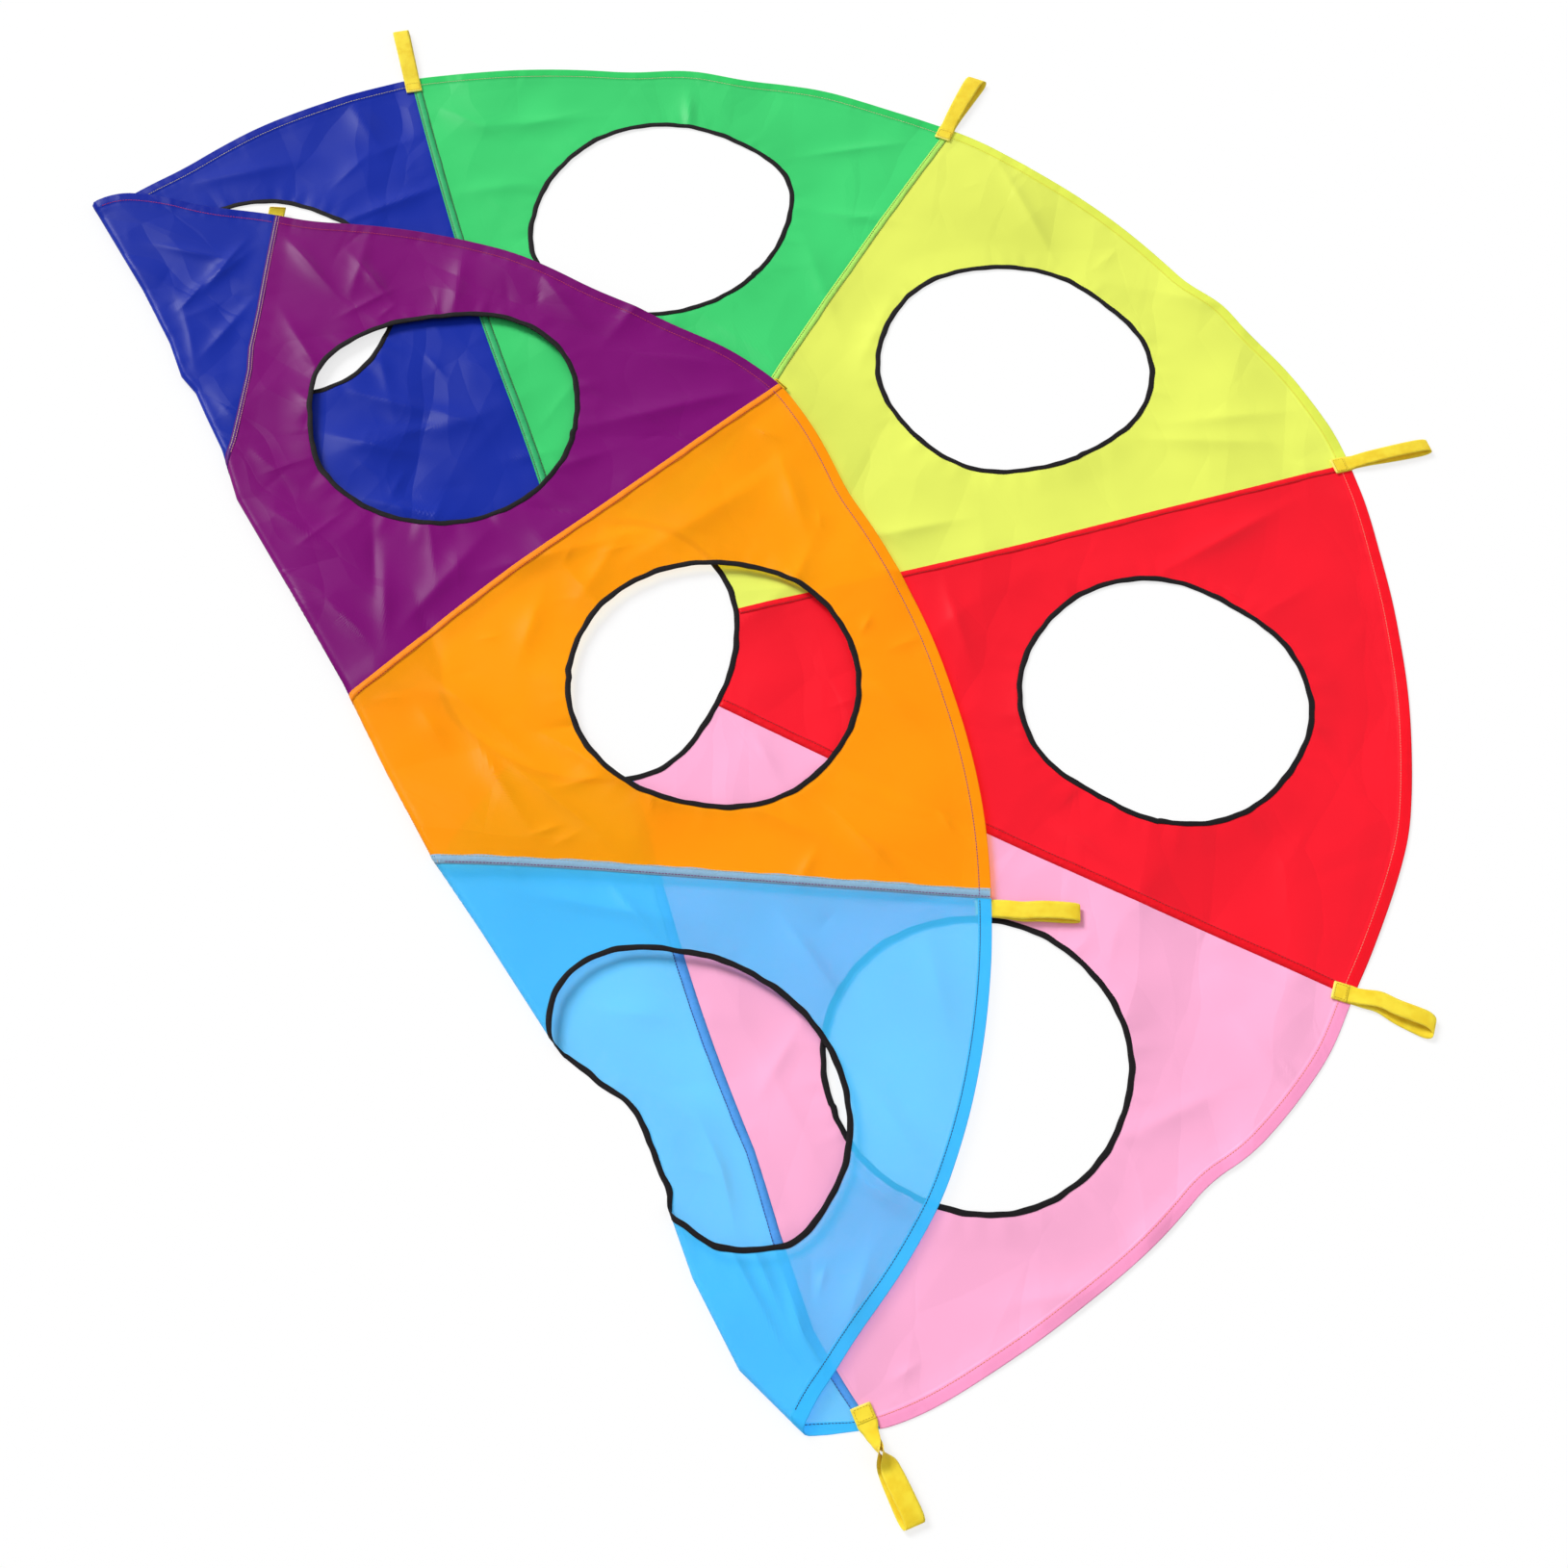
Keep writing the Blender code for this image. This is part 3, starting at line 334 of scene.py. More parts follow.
# %% Small creases at random
def small_creases(seed, count, lowest, highest):
    """Strokes spread evenly over the disc. Each lies along the way out of its nearest hole, give or take
    the half of a right angle, and the long ones are rare."""
    draw = np.random.default_rng(seed)
    place = np.sqrt(draw.uniform(0.03, 1.05, count))[:, None] * direction(draw.uniform(0, 2 * math.pi, count))
    holes = np.array([hole_centre(panel) for panel in range(8)]) / RADIUS
    away = place[:, None] - holes
    nearest = away[np.arange(count), np.hypot(*away.transpose(2, 0, 1)).argmin(1)]
    degrees = np.degrees(np.arctan2(nearest[:, 1], nearest[:, 0])) + 45 * draw.normal(size=count)
    half_length = 0.014 + 0.065 * draw.uniform(size=count) ** 2.5
    half_width = half_length * draw.uniform(0.12, 0.30, count) + 0.003
    height = draw.uniform(lowest, highest, count) * half_width / 0.012
    return np.column_stack([place, degrees, half_length, half_width, height])


# Beside the photo all creases looked too wide and too low, so their half widths and heights are scaled here
GROWN = np.array([1, 1, 1, 1, 0.75, 1.5])
lower_creases = np.vstack([LOWER_STROKES, small_creases(11, 260, -0.30, 0.90)]) * GROWN
flap_creases = np.vstack([FLAP_STROKES, small_creases(5, 420, -1.0, 1.3)]) * GROWN
print("creases", len(lower_creases), "below,", len(flap_creases), "on the flap")


# %% Relief of the cloth
def strokes(points, rows):
    """Sum of creases. Across a stroke its height falls off as e to the minus distance, rounded at the top;
    along it a bell. Only points within three half lengths are worked out."""
    total = np.zeros(len(points))
    for x, y, degrees, half_length, half_width, height in rows:
        offset = points / RADIUS - (x, y)
        near = np.flatnonzero((np.abs(offset) < 2.6 * half_length + half_width).all(axis=1))
        run = direction(math.radians(degrees))
        along, across = offset[near] @ run, offset[near] @ np.array([-run[1], run[0]])
        ridge = np.exp(0.4 - np.sqrt((across / half_width) ** 2 + 0.16))
        total[near] += height * MM * ridge * np.exp(-((along / half_length) ** 2))
    return total


def swell(points):
    """Low waves from -1 to 1: three plane waves at odd angles, which never line up over the cloth."""
    x, y = points[..., 0], points[..., 1]
    return (
        np.sin(19 * x + 11 * y + 0.6) + np.sin(-9 * x + 23 * y + 2.1) + np.sin(31 * x - 17 * y + 4.0)
    ) / 3


LOWER_MOST, FLAP_MOST_DOWN, ROOF, LEAST_ROOM = 3.2 * MM, 1.9 * MM, 11.9 * MM, 0.2 * MM
LOWER_WAVE, FLAP_WAVE, FLAP_RISE = 0.9 * MM, 0.8 * MM, 0.5 * MM
# Lengths: flat cloth by the fold, creases growing from there to their full height, and the same two by a
# loop
FLAT_AT_FOLD, GROW_FROM_FOLD, FLAT_AT_LOOP, GROW_FROM_LOOP = 0.012, 0.035, 20 * MM, 45 * MM


def held_flat(points):
    """0 by a corner, where a loop's sewn end holds the cloth flat, and 1 further off: a step in the
    distance from the nearest corner."""
    corners = np.array([seam_point(seam, np.array(seam_end(seam))) for seam in range(8)])
    nearest = np.min([np.hypot(*np.moveaxis(points - corner, -1, 0)) for corner in corners], axis=0)
    return ease((nearest - FLAT_AT_LOOP) / GROW_FROM_LOOP)


def creases(points, s):
    """Waves and creases as they would stand if nothing held them in: above the floor, or above the flap."""
    height, down = np.zeros(s.shape), s > 0
    height[down] = LOWER_WAVE * (1 + swell(points[down])) + strokes(points[down], lower_creases)
    height[~down] = FLAP_RISE + FLAP_WAVE * swell(points[~down] + 0.37) + strokes(points[~down], flap_creases)
    return height * ease((np.abs(s) - FLAT_AT_FOLD) / GROW_FROM_FOLD) * held_flat(points)


def relief(points, s, away):
    """Height that waves and creases add. It dies out at the fold. A hyperbolic tangent holds it within what
    the layers leave free: the floor and the flap's roof, where the turned-over cloth would meet the floor
    again."""
    free = creases(points, s)
    lower = LOWER_MOST * np.tanh(np.maximum(free, 0) / LOWER_MOST)
    room = np.where(free > 0, np.maximum(ROOF - flap_height(away), LEAST_ROOM), FLAP_MOST_DOWN)
    return np.where(s > 0, lower, room * np.tanh(free / room))


# %% [markdown]
# ## Making a mesh from a grid
#
# A piece here is a grid of points that closes on itself both ways, like the skin of a ring, or one that
# ends in two caps. numpy works all points out at once, and the faces follow from their numbers in the grid.


def new_piece(name, points, faces, material, attributes=()):
    """Puts points and faces into a mesh whose faces point outwards, and links it."""
    mesh = bpy.data.meshes.new(name)
    mesh.from_pydata(points.tolist(), [], faces.tolist())
    mesh.update()
    mesh.calc_loop_triangles()
    corners = np.empty(len(mesh.loop_triangles) * 3, np.int32)
    mesh.loop_triangles.foreach_get("vertices", corners)
    a, b, c = points[corners.reshape(-1, 3)].transpose(1, 0, 2)
    if np.einsum("ij,ij->i", a, np.cross(b, c)).sum() < 0:
        mesh.flip_normals()
    for label, values in attributes:
        kind, key = ("FLOAT", "value") if values.size == len(points) else ("FLOAT_VECTOR", "vector")
        mesh.attributes.new(label, kind, "POINT").data.foreach_set(key, values.astype(np.float32).ravel())
    mesh.shade_smooth()
    mesh.materials.append(material)
    piece = bpy.data.objects.new(name, mesh)
    bpy.context.scene.collection.objects.link(piece)
    return piece


def ring_faces(rows, columns):
    """Faces of a grid that closes on itself along both its rows and its columns."""
    i, j = np.meshgrid(np.arange(rows), np.arange(columns), indexing="ij")
    i2, j2 = (i + 1) % rows, (j + 1) % columns
    corners = [i * columns + j, i2 * columns + j, i2 * columns + j2, i * columns + j2]
    return np.stack(corners, -1).reshape(-1, 4)


def tube_faces(rows, columns, tubes=1):
    """Faces of tubes whose sections are the rows: open grids closed round their columns; their ends stay
    open."""
    i, j = np.meshgrid(np.arange(rows - 1), np.arange(columns), indexing="ij")
    j2 = (j + 1) % columns
    one = np.stack([i * columns + j, (i + 1) * columns + j, (i + 1) * columns + j2, i * columns + j2], -1)
    return (one.reshape(-1, 4) + np.arange(tubes)[:, None, None] * rows * columns).reshape(-1, 4)


# %% [markdown]
# ## Writing shader maths as Python
#
# Node trees grow hard to read when each sum is three lines of links. One small class wraps an output
# socket, so that plus, minus and times add the Math nodes, and one method adds any other node.

# %% A socket that can be used in sums
class Wire:
    """An output socket. Numbers stay numbers until they meet a wire."""

    def __init__(self, tree, socket):
        self.tree, self.socket = tree, socket

    def maths(self, operation, *values):
        return self.tree.add("ShaderNodeMath", {"operation": operation}, dict(enumerate(values)))

    def __add__(self, other):
        return self.maths("ADD", self, other)

    __radd__ = __add__

    def __sub__(self, other):
        return self.maths("SUBTRACT", self, other)

    def __rsub__(self, other):
        return self.maths("SUBTRACT", other, self)

    def __mul__(self, other):
        return self.maths("MULTIPLY", self, other)

    def vector(self, operation, *values):
        return self.tree.add("ShaderNodeVectorMath", {"operation": operation}, dict(enumerate(values)))

    def distance_from(self, other):
        """The difference from a value, without its sign."""
        return self.maths("ABSOLUTE", self - other)

    def between(self, low, high):
        """0 at low and beyond it, 1 at high and beyond it, with a smooth step; low may be the larger
        one."""
        settings = {"interpolation_type": "SMOOTHSTEP"}
        values = {"Value": self, "From Min": low, "From Max": high}
        return self.tree.add("ShaderNodeMapRange", settings, values)


# %% A node tree and its methods
class Tree:
    """The nodes of a material or of the world."""

    def __init__(self, owner):
        owner.use_nodes = True
        self.nodes, self.links = owner.node_tree.nodes, owner.node_tree.links

    def add(self, kind, settings, values, output=0):
        node = self.nodes.new(kind)
        for key, value in settings.items():
            setattr(node, key, value)
        for key, value in values.items():
            self.feed(node.inputs[key], value)
        return Wire(self, node.outputs[output])

    def feed(self, socket, value):
        if isinstance(value, Wire):
            self.links.new(value.socket, socket)
        else:
            socket.default_value = value

    def ray(self, kind):
        """1 for rays of a kind, such as "Is Shadow Ray"."""
        return self.add("ShaderNodeLightPath", {}, {}, kind)

    def seen(self):
        """1 for rays that show the background: to the camera, and in metal and glass."""
        total = self.ray("Is Camera Ray") + self.ray("Is Glossy Ray") + self.ray("Is Transmission Ray")
        return total.maths("MINIMUM", total, 1.0)


class Finish(Tree):
    """A material with one Principled shader, and the methods that wire things to it."""

    def __init__(self, name, roughness, specular=0.2, sheen=0.0):
        self.material = bpy.data.materials.new(name)
        super().__init__(self.material)
        self.shader = self.nodes["Principled BSDF"]
        fixed = {"Roughness": roughness, "Specular IOR Level": specular, "Sheen Weight": sheen}
        for key, value in fixed.items():
            self.shader.inputs[key].default_value = value

    def attribute(self, name, output="Fac"):
        return self.add("ShaderNodeAttribute", {"attribute_name": name}, {}, output)

    def noise(self, place, scale, detail=2.0, roughness=0.5, distortion=0.0):
        values = {"Vector": place, "Scale": scale, "Detail": detail, "Roughness": roughness}
        return self.add("ShaderNodeTexNoise", {}, {**values, "Distortion": distortion})

    def facets(self, place, scale, turn_degrees, stretch):
        """Distance from the borders of stretched cells: flat sides that meet in straight lines."""
        turned = {"Vector": place, "Rotation": (0, 0, math.radians(turn_degrees)), "Scale": (1, stretch, 1)}
        cells = {"Vector": self.add("ShaderNodeMapping", {}, turned), "Scale": scale}
        return self.add("ShaderNodeTexVoronoi", {"feature": "DISTANCE_TO_EDGE"}, cells)

    def mix(self, share, first, second):
        """A colour between two colours."""
        colours = {6: first, 7: second}
        values = {key: value if isinstance(value, Wire) else (*value, 1.0) for key, value in colours.items()}
        return self.add("ShaderNodeMix", {"data_type": "RGBA"}, {0: share, **values}, 2)

    def bump(self, height_mm):
        return self.add("ShaderNodeBump", {}, {"Height": height_mm, "Distance": MM, "Strength": 1.0})

    def finish(self, **sockets):
        for key, value in sockets.items():
            self.feed(self.shader.inputs[key.replace("_", " ")], value)
        return self.material

    def shaded(self):
        return Wire(self, self.shader.outputs[0])

    def mixed(self, share, first, second):
        """The material's surface as a mix of two shaders."""
        both = self.add("ShaderNodeMixShader", {}, {0: share, 1: first, 2: second})
        self.links.new(both.socket, self.nodes["Material Output"].inputs["Surface"])
        return self.material


def shade(colour, by):
    return tuple(min(1.0, c * by) for c in colour)


print("shader helpers ready")

# %% [markdown]
# ## Taffeta
#
# Taffeta is smooth, thin and a little shiny. It shows what lies under it faintly: sky blue over pink looks
# lilac, and orange shows the red beneath. Glass-like transmission would bend and blur that, so the cloth
# uses Alpha. A shadow ray meets a lower Alpha than the camera does, because thin cloth passes most light
# on, only scattered. Its creases are the cloth's own, made stronger by the free height that each face
# carries as an attribute. Between them lie facets: stretched cells whose distance from their borders has
# flat sides that meet in straight lines. Where tape, hem or seam draws the cloth in, short puckers run
# across the edge: a noise that changes along the edge only.

# %% Taffeta colours
# Linear colour, the whole cloth's opacity to the eye, the light that it passes on, how much a hem deepens
# it, and the tint of what shows through, where dye changes it much
TAFFETA = {
    "green": ((0.050, 0.620, 0.165), 1.0, 0.0, 1.15, None),
    "yellow": ((0.770, 0.850, 0.125), 1.0, 0.0, 1.15, None),
    "red": ((0.900, 0.011, 0.026), 1.0, 0.0, 1.10, None),
    "pink": ((0.960, 0.420, 0.650), 1.0, 0.0, 1.28, None),
    "sky": ((0.065, 0.560, 0.970), 0.79, 0.80, 1.15, None),
    "orange": ((0.990, 0.372, 0.005), 0.90, 0.80, 1.15, (1.00, 0.78, 0.02)),
    "purple": ((0.195, 0.002, 0.160), 1.0, 0.0, 1.10, None),
    "blue": ((0.006, 0.024, 0.340), 1.0, 0.0, 1.10, None),
}


def wall_alpha(through):
    """A light ray crosses two walls of a closed cloth, so each lets the root of the whole share through."""
    return 1 - math.sqrt(through)


# %% Taffeta finish
def taffeta(name, colour, opacity, passed_on, deepening, tint):
    cloth = Finish(f"taffeta_{name}", 0.36, specular=0.085)
    flat = cloth.attribute("flat", "Vector")
    hem = cloth.attribute("rim_gap").between(HEM_WIDTH + 0.4 * MM, HEM_WIDTH - 0.4 * MM)

    bent = cloth.noise(flat, 7.0, 1.0) * 0.05
    place = flat.vector("ADD", flat, bent)
    shown = cloth.noise(flat, 3.1).between(0.40, 0.60)
    folds = sum(
        cloth.facets(place, scale, turn, stretch) * (slope * 1000 / scale)
        for scale, turn, stretch, slope in ((4.6, 25, 0.45, 0.090), (10.5, -38, 0.55, 0.060))
    ) * (0.30 + shown * 0.70)
    folds = folds + cloth.attribute("crease") * 1.3 + cloth.noise(flat, 7.0, 1.5) * 5.0
    around_hole = cloth.noise(cloth.attribute("hole_way", "Vector"), 9.0, 0.0)
    along_rim = cloth.noise(cloth.attribute("rim_run", "Vector"), 60.0, 0.5)
    along_seam = cloth.noise(cloth.attribute("seam_run", "Vector"), 40.0, 0.5)
    puckers = around_hole * cloth.attribute("hole_gap").between(45 * MM, 5 * MM) * 2.6
    puckers = puckers + along_rim * cloth.attribute("rim_gap").between(30 * MM, 12 * MM) * 1.4
    puckers = puckers + along_seam * cloth.attribute("seam_gap").between(26 * MM, 2 * MM) * 1.4
    weave = cloth.noise(flat, 2400.0, 0.0) * 0.006

    # A broad noise moves the colour between a slightly darker and a slightly lighter copy: random tone in the
    # cloth, and painted broad sheen and shade as well.
    base = cloth.mix(cloth.noise(flat, 5.0).between(0.3, 0.7), shade(colour, 0.95), shade(colour, 1.04))
    base = cloth.mix(hem, base, tuple(c**deepening for c in colour))
    cloth.finish(Base_Color=base, Normal=cloth.bump(folds + puckers + weave))
    if opacity == 1:
        return cloth.material
    seen, lit = wall_alpha(1 - opacity), wall_alpha(passed_on)
    seen = seen + hem * (0.85 - seen)
    alpha = seen + cloth.ray("Is Shadow Ray") * (lit - seen)
    if tint is None:
        return cloth.finish(Alpha=alpha)
    through = cloth.add("ShaderNodeBsdfTransparent", {}, {"Color": (*(math.sqrt(c) for c in tint), 1.0)})
    return cloth.mixed(alpha, through, cloth.shaded())


taffetas = {name: taffeta(name, *facts) for name, facts in TAFFETA.items()}
print("taffeta finishes", len(taffetas))

# %% [markdown]
# ## The eight panels
#
# Each panel is the piece of cloth between two seams, with its hole cut out. Rays from the hole's middle
# cross it to its outline, so one grid covers it with no seam of its own: along a ray from the hole out,
# round the edge and back underneath. At the rim the cloth is folded over as a hem, which stands out a
# little on both faces.

# %% Outline of a panel
SEAM_STATIONS, RIM_STATIONS, INNER_STATIONS, RINGS = 130, 150, 28, 64
CLOTH_LOW, CLOTH_HIGH, HEM_HIGH = 0.25 * MM, 0.65 * MM, 1.10 * MM
SEAM_BAND, TURN_IN = 3 * MM, 0.04


def panel_outline(panel):
    """Stations round a panel, and at each the inward step of a narrow band: the hem's width at the rim, the
    tape's at the middle hole, a little at the seams. Near a corner the steps lean away from it, so they
    never cross."""
    sides = []
    for side, seam in ((1, panel), (-1, panel + 1)):
        along = direction(seam_angle(seam))
        left = np.array([-along[1], along[0]])
        inner = hole_radius("middle", float(seam_angle(seam)))
        radii = np.linspace(inner, seam_end(seam), SEAM_STATIONS)
        points = seam_point(seam, radii, -side * 0.10 * MM)
        out = -HEM_WIDTH * ease((radii - radii[-1] + TURN_IN) / TURN_IN)
        out = out + TAPE_WIDTH * ease((radii[0] + TURN_IN - radii) / TURN_IN)
        sides.append((points, -side * SEAM_BAND * left + out[:, None] * along))
    arcs = []
    for first, last, stations, step in (
        (corner_place(panel), corner_place(panel + 1), RIM_STATIONS, -HEM_WIDTH),
        (panel + 1, panel, INNER_STATIONS, TAPE_WIDTH),
    ):
        place = np.linspace(first, last, stations + 2)[1:-1]
        angle = seam_angle(place)
        out = direction(angle)
        reach = rim_radius(place) if step < 0 else hole_radius("middle", angle)
        span = 2 * HALF_SECTOR * reach / (4 * SEAM_BAND)
        lean = np.clip(1 - (place - min(first, last)) * span, 0, 1)
        lean -= np.clip(1 - (max(first, last) - place) * span, 0, 1)
        clockwise = np.stack([out[:, 1], -out[:, 0]], -1)
        arcs.append((reach[:, None] * out, step * out + SEAM_BAND * lean[:, None] * clockwise))
    blocks = [sides[0], arcs[0], (sides[1][0][::-1], sides[1][1][::-1]), arcs[1]]
    return np.concatenate([b[0] for b in blocks]), np.concatenate([b[1] for b in blocks])


# %% Grid of a panel
def panel_grid(panel):
    """Flat points and heights of a panel's skin: columns run from the hole to the rim and back
    underneath."""
    centre = hole_centre(panel)
    outline, band = panel_outline(panel)
    toward = outline - centre
    angle = np.arctan2(toward[:, 1], toward[:, 0])
    edge = centre + hole_radius(PANELS[panel], angle)[:, None] * direction(angle)
    inner = edge + (TAPE_WIDTH + 1 * MM) * direction(angle)
    spread = np.linspace(0, 1, RINGS)[:, None, None]
    middle = inner + (outline + 1.06 * band - inner) * spread
    last = [(outline + share * band)[None] for share in (1.0, 0.5, 0.07, 0.0)]
    rings = np.concatenate([edge[None], middle, *last])
    rim_gap = edge_gaps(rings, panel)["rim_gap"]
    step = ease((HEM_WIDTH * 1.05 - rim_gap) / (0.05 * HEM_WIDTH))
    top = CLOTH_HIGH + (HEM_HIGH - CLOTH_HIGH) * step
    low = CLOTH_LOW * (1 - step)
    return np.concatenate([rings, rings[::-1]]), np.concatenate([top, low[::-1]])


def edge_gaps(points, panel):
    """What the finish needs at each flat point: distances from the rim, from the nearer seam and from the
    hole, and places along each of these edges."""
    radius = np.hypot(points[..., 0], points[..., 1])
    place = ((FIRST_SEAM - np.arctan2(points[..., 1], points[..., 0])) / (2 * HALF_SECTOR)) % 8
    beside = []
    for sign, seam in ((-1, panel), (1, panel + 1)):
        along = direction(seam_angle(seam))
        beside.append(sign * (points @ np.array([-along[1], along[0]]) - seam_wander(seam, radius)))
    from_hole = points - hole_centre(panel)
    angle = np.arctan2(from_hole[..., 1], from_hole[..., 0])
    none = np.zeros(radius.shape)
    return {
        "rim_gap": rim_radius(place) - radius,
        "seam_gap": np.minimum(*beside),
        "hole_gap": np.hypot(*np.moveaxis(from_hole, -1, 0)) - hole_radius(PANELS[panel], angle),
        "hole_way": np.stack([np.cos(angle), np.sin(angle), none], -1),
        "rim_run": np.stack([place * 2 * HALF_SECTOR * RADIUS, none, none], -1),
        "seam_run": np.stack([radius, 3.0 * (beside[0] < beside[1]), none], -1),
        "flat": np.concatenate([points, none[..., None]], -1),
    }


# %% Put the panels in place
CROSSES_FOLD = ("sky", "orange", "purple", "blue")
# A sheet through the fold's middle, which tilts with the settling flap.
tilt = np.array([*(FOLD_NORMAL * 0.0036), 1.0])
tilt /= np.linalg.norm(tilt)


def follow_fold(piece):
    """Bakes a piece's transform into its mesh, where it lies across the fold; it rides on neither layer."""
    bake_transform(piece)


def place_piece(piece, on_flap, crosses, nodes=()):
    """Rides a piece on its layer, or bakes in the transform of one that crosses the fold, and hides the
    model's nodes that it stands for."""
    if crosses:
        follow_fold(piece)
    else:
        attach(piece, "flap" if on_flap else "lower_layer")
    if nodes:
        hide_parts(*nodes)


def crease_attribute(points):
    """The free height of the creases in millimetres, seen from each face: a ridge on one is a dent on the
    other."""
    half = points[: len(points) // 2]
    s = past_fold(half)
    seen_from_inside = creases(half, s) * np.where(s > 0, 1, -1) / MM
    return np.concatenate([seen_from_inside, -seen_from_inside[::-1]])


for panel, name in enumerate(PANELS):
    points, heights = panel_grid(panel)
    attributes = {**edge_gaps(points, panel), "crease": crease_attribute(points)}.items()
    faces = ring_faces(*heights.shape)
    piece = new_piece(f"cloth_{name}", lay(points, heights).reshape(-1, 3), faces, taffetas[name], attributes)
    crosses = name in CROSSES_FOLD
    nodes = (f"panel_{name}_lower", f"panel_{name}_flap") if crosses else (f"panel_{name}",)
    place_piece(piece, False, crosses, nodes)

# %% [markdown]
# ## Black binding
#
# Each cut edge is held in a folded tape, sewn through both of its arms. Its section is a narrow U with
# round edges, carried round the hole. The tape's ends lap over each other at one place, where it is thicker
# and stands out.

# %% Binding finish and section
def binding_finish():
    tape = Finish("black_binding_tape", 0.62, specular=0.10, sheen=0.02)
    flat = tape.attribute("flat", "Vector")
    ribs = tape.noise(flat, 900.0, 1.0)
    base = tape.mix(ribs, (0.003, 0.002, 0.003), (0.010, 0.008, 0.009))
    return tape.finish(Base_Color=base, Normal=tape.bump(ribs * 0.12 + tape.noise(flat, 90.0) * 0.7))


black_tape = binding_finish()
JOIN_ANGLES = {
    "green": -35, "yellow": -60, "red": -95, "pink": 200, "sky": 75, "orange": 60, "purple": 250, "blue": 30,
    "middle": 100,
}


def u_section(steps=6):
    """A U that opens away from the hole, as (reach, height) pairs: reach 0 is its back, and both arms end
    round."""
    arm = 0.5 * MM
    low, high = CLOTH_LOW - 0.05 * MM, CLOTH_HIGH + 0.05 * MM
    middle, outside = (high + low) / 2, (high - low) / 2 + arm
    turn = np.linspace(-math.pi / 2, -3 * math.pi / 2, steps)
    back = np.stack([0.45 * MM * np.cos(turn), middle + outside * np.sin(turn)], -1)
    tip = np.linspace(math.pi / 2, -math.pi / 2, 4)
    end = TAPE_WIDTH + 0.2 * MM * np.cos(tip)
    upper = np.stack([end, high + arm / 2 + arm / 2 * np.sin(tip)], -1)
    lower = np.stack([end, low - arm / 2 + arm / 2 * np.sin(tip)], -1)
    wall = np.array([[0.35 * MM, high], [0.35 * MM, low]])
    return np.concatenate([back, upper, wall, lower])


# %% Binding rings
def add_binding(name, centre, stations=300):
    """The U carried round a hole. Its reach sways a little, and is larger past the join, over one lap's
    length."""
    angle = np.linspace(0, 2 * math.pi, stations, endpoint=False)
    radius, section = hole_radius(name, angle), u_section()
    past = ((angle - math.radians(JOIN_ANGLES[name]) + math.pi) % (2 * math.pi) - math.pi) * radius
    lap = ease(past / (0.4 * MM) + 0.5) * ease((14 * MM - past) / (9 * MM))
    sway = 0.25 * MM * np.sin(23 * angle + 1) + 0.2 * MM * np.sin(41 * angle)
    width = 1 + 0.06 * np.sin(11 * angle + 2) + 0.05 * np.sin(29 * angle)
    reach = section[:, 0] * width[:, None] - 0.35 * MM + (sway - 1.3 * MM * lap)[:, None]
    middle = (CLOTH_LOW + CLOTH_HIGH) / 2
    height = middle + (section[:, 1] - middle) * (1 + 0.45 * lap)[:, None]
    points = centre + (radius[:, None] + reach)[..., None] * direction(angle)[:, None]
    height = np.where(past_fold(points) > 0, np.maximum(height, 0.02 * MM), height)
    attributes = [("flat", np.concatenate([points, height[..., None]], -1))]
    faces = ring_faces(stations, len(section))
    return new_piece(f"tape_{name}_hole", lay(points, height).reshape(-1, 3), faces, black_tape, attributes)


for name in (*PANELS, "middle"):
    tape = add_binding(name, np.zeros(2) if name == "middle" else hole_centre(PANELS.index(name)))
    node = "binding_centre" if name == "middle" else f"binding_{name}"
    nodes = (f"{node}_lower", f"{node}_flap") if name == "sky" else (node,)
    place_piece(tape, name in ("orange", "purple"), name == "sky", nodes)
print("bindings", len(JOIN_ANGLES))

# %% [markdown]
# ## Seam allowances
#
# Two panels are sewn edge to edge, and their raw edges are turned to one side and stitched down as a flat
# strip of doubled cloth. On the lower layer the strip lies on the inner face, which is up; on the flap it
# is on the outer one, which is up there. Each strip is a flat band carried along its seam, with a free edge
# that wavers.

# %% Strip finish
# For each seam from blue and green on: its name, the side of the strip (1 is anticlockwise), its width in
# mm, colour
STRIPS = (
    ("blue_green", -1, 9.5, (0.036, 0.440, 0.150)),
    ("green_yellow", -1, 8.0, (0.420, 0.790, 0.130)),
    ("yellow_red", -1, 7.5, (0.830, 0.006, 0.016)),
    ("red_pink", 1, 10.0, (0.820, 0.006, 0.016)),
    ("pink_sky", -1, 10.0, (0.080, 0.320, 0.800)),
    ("sky_orange", -1, 10.5, (0.250, 0.430, 0.600)),
    ("orange_purple", 1, 8.5, (0.930, 0.250, 0.008)),
    ("purple_blue", 1, 6.0, (0.090, 0.010, 0.170)),
)


def strip_finish(name, colour):
    strip = Finish(f"doubled_taffeta_{name}", 0.45, specular=0.10)
    flat = strip.attribute("flat", "Vector")
    fray = strip.noise(flat, 420.0)
    base = strip.mix(fray, shade(colour, 0.86), shade(colour, 1.14))
    return strip.finish(Base_Color=base, Normal=strip.bump(strip.noise(flat, 110.0, 1.0) * 0.9 + fray * 0.1))


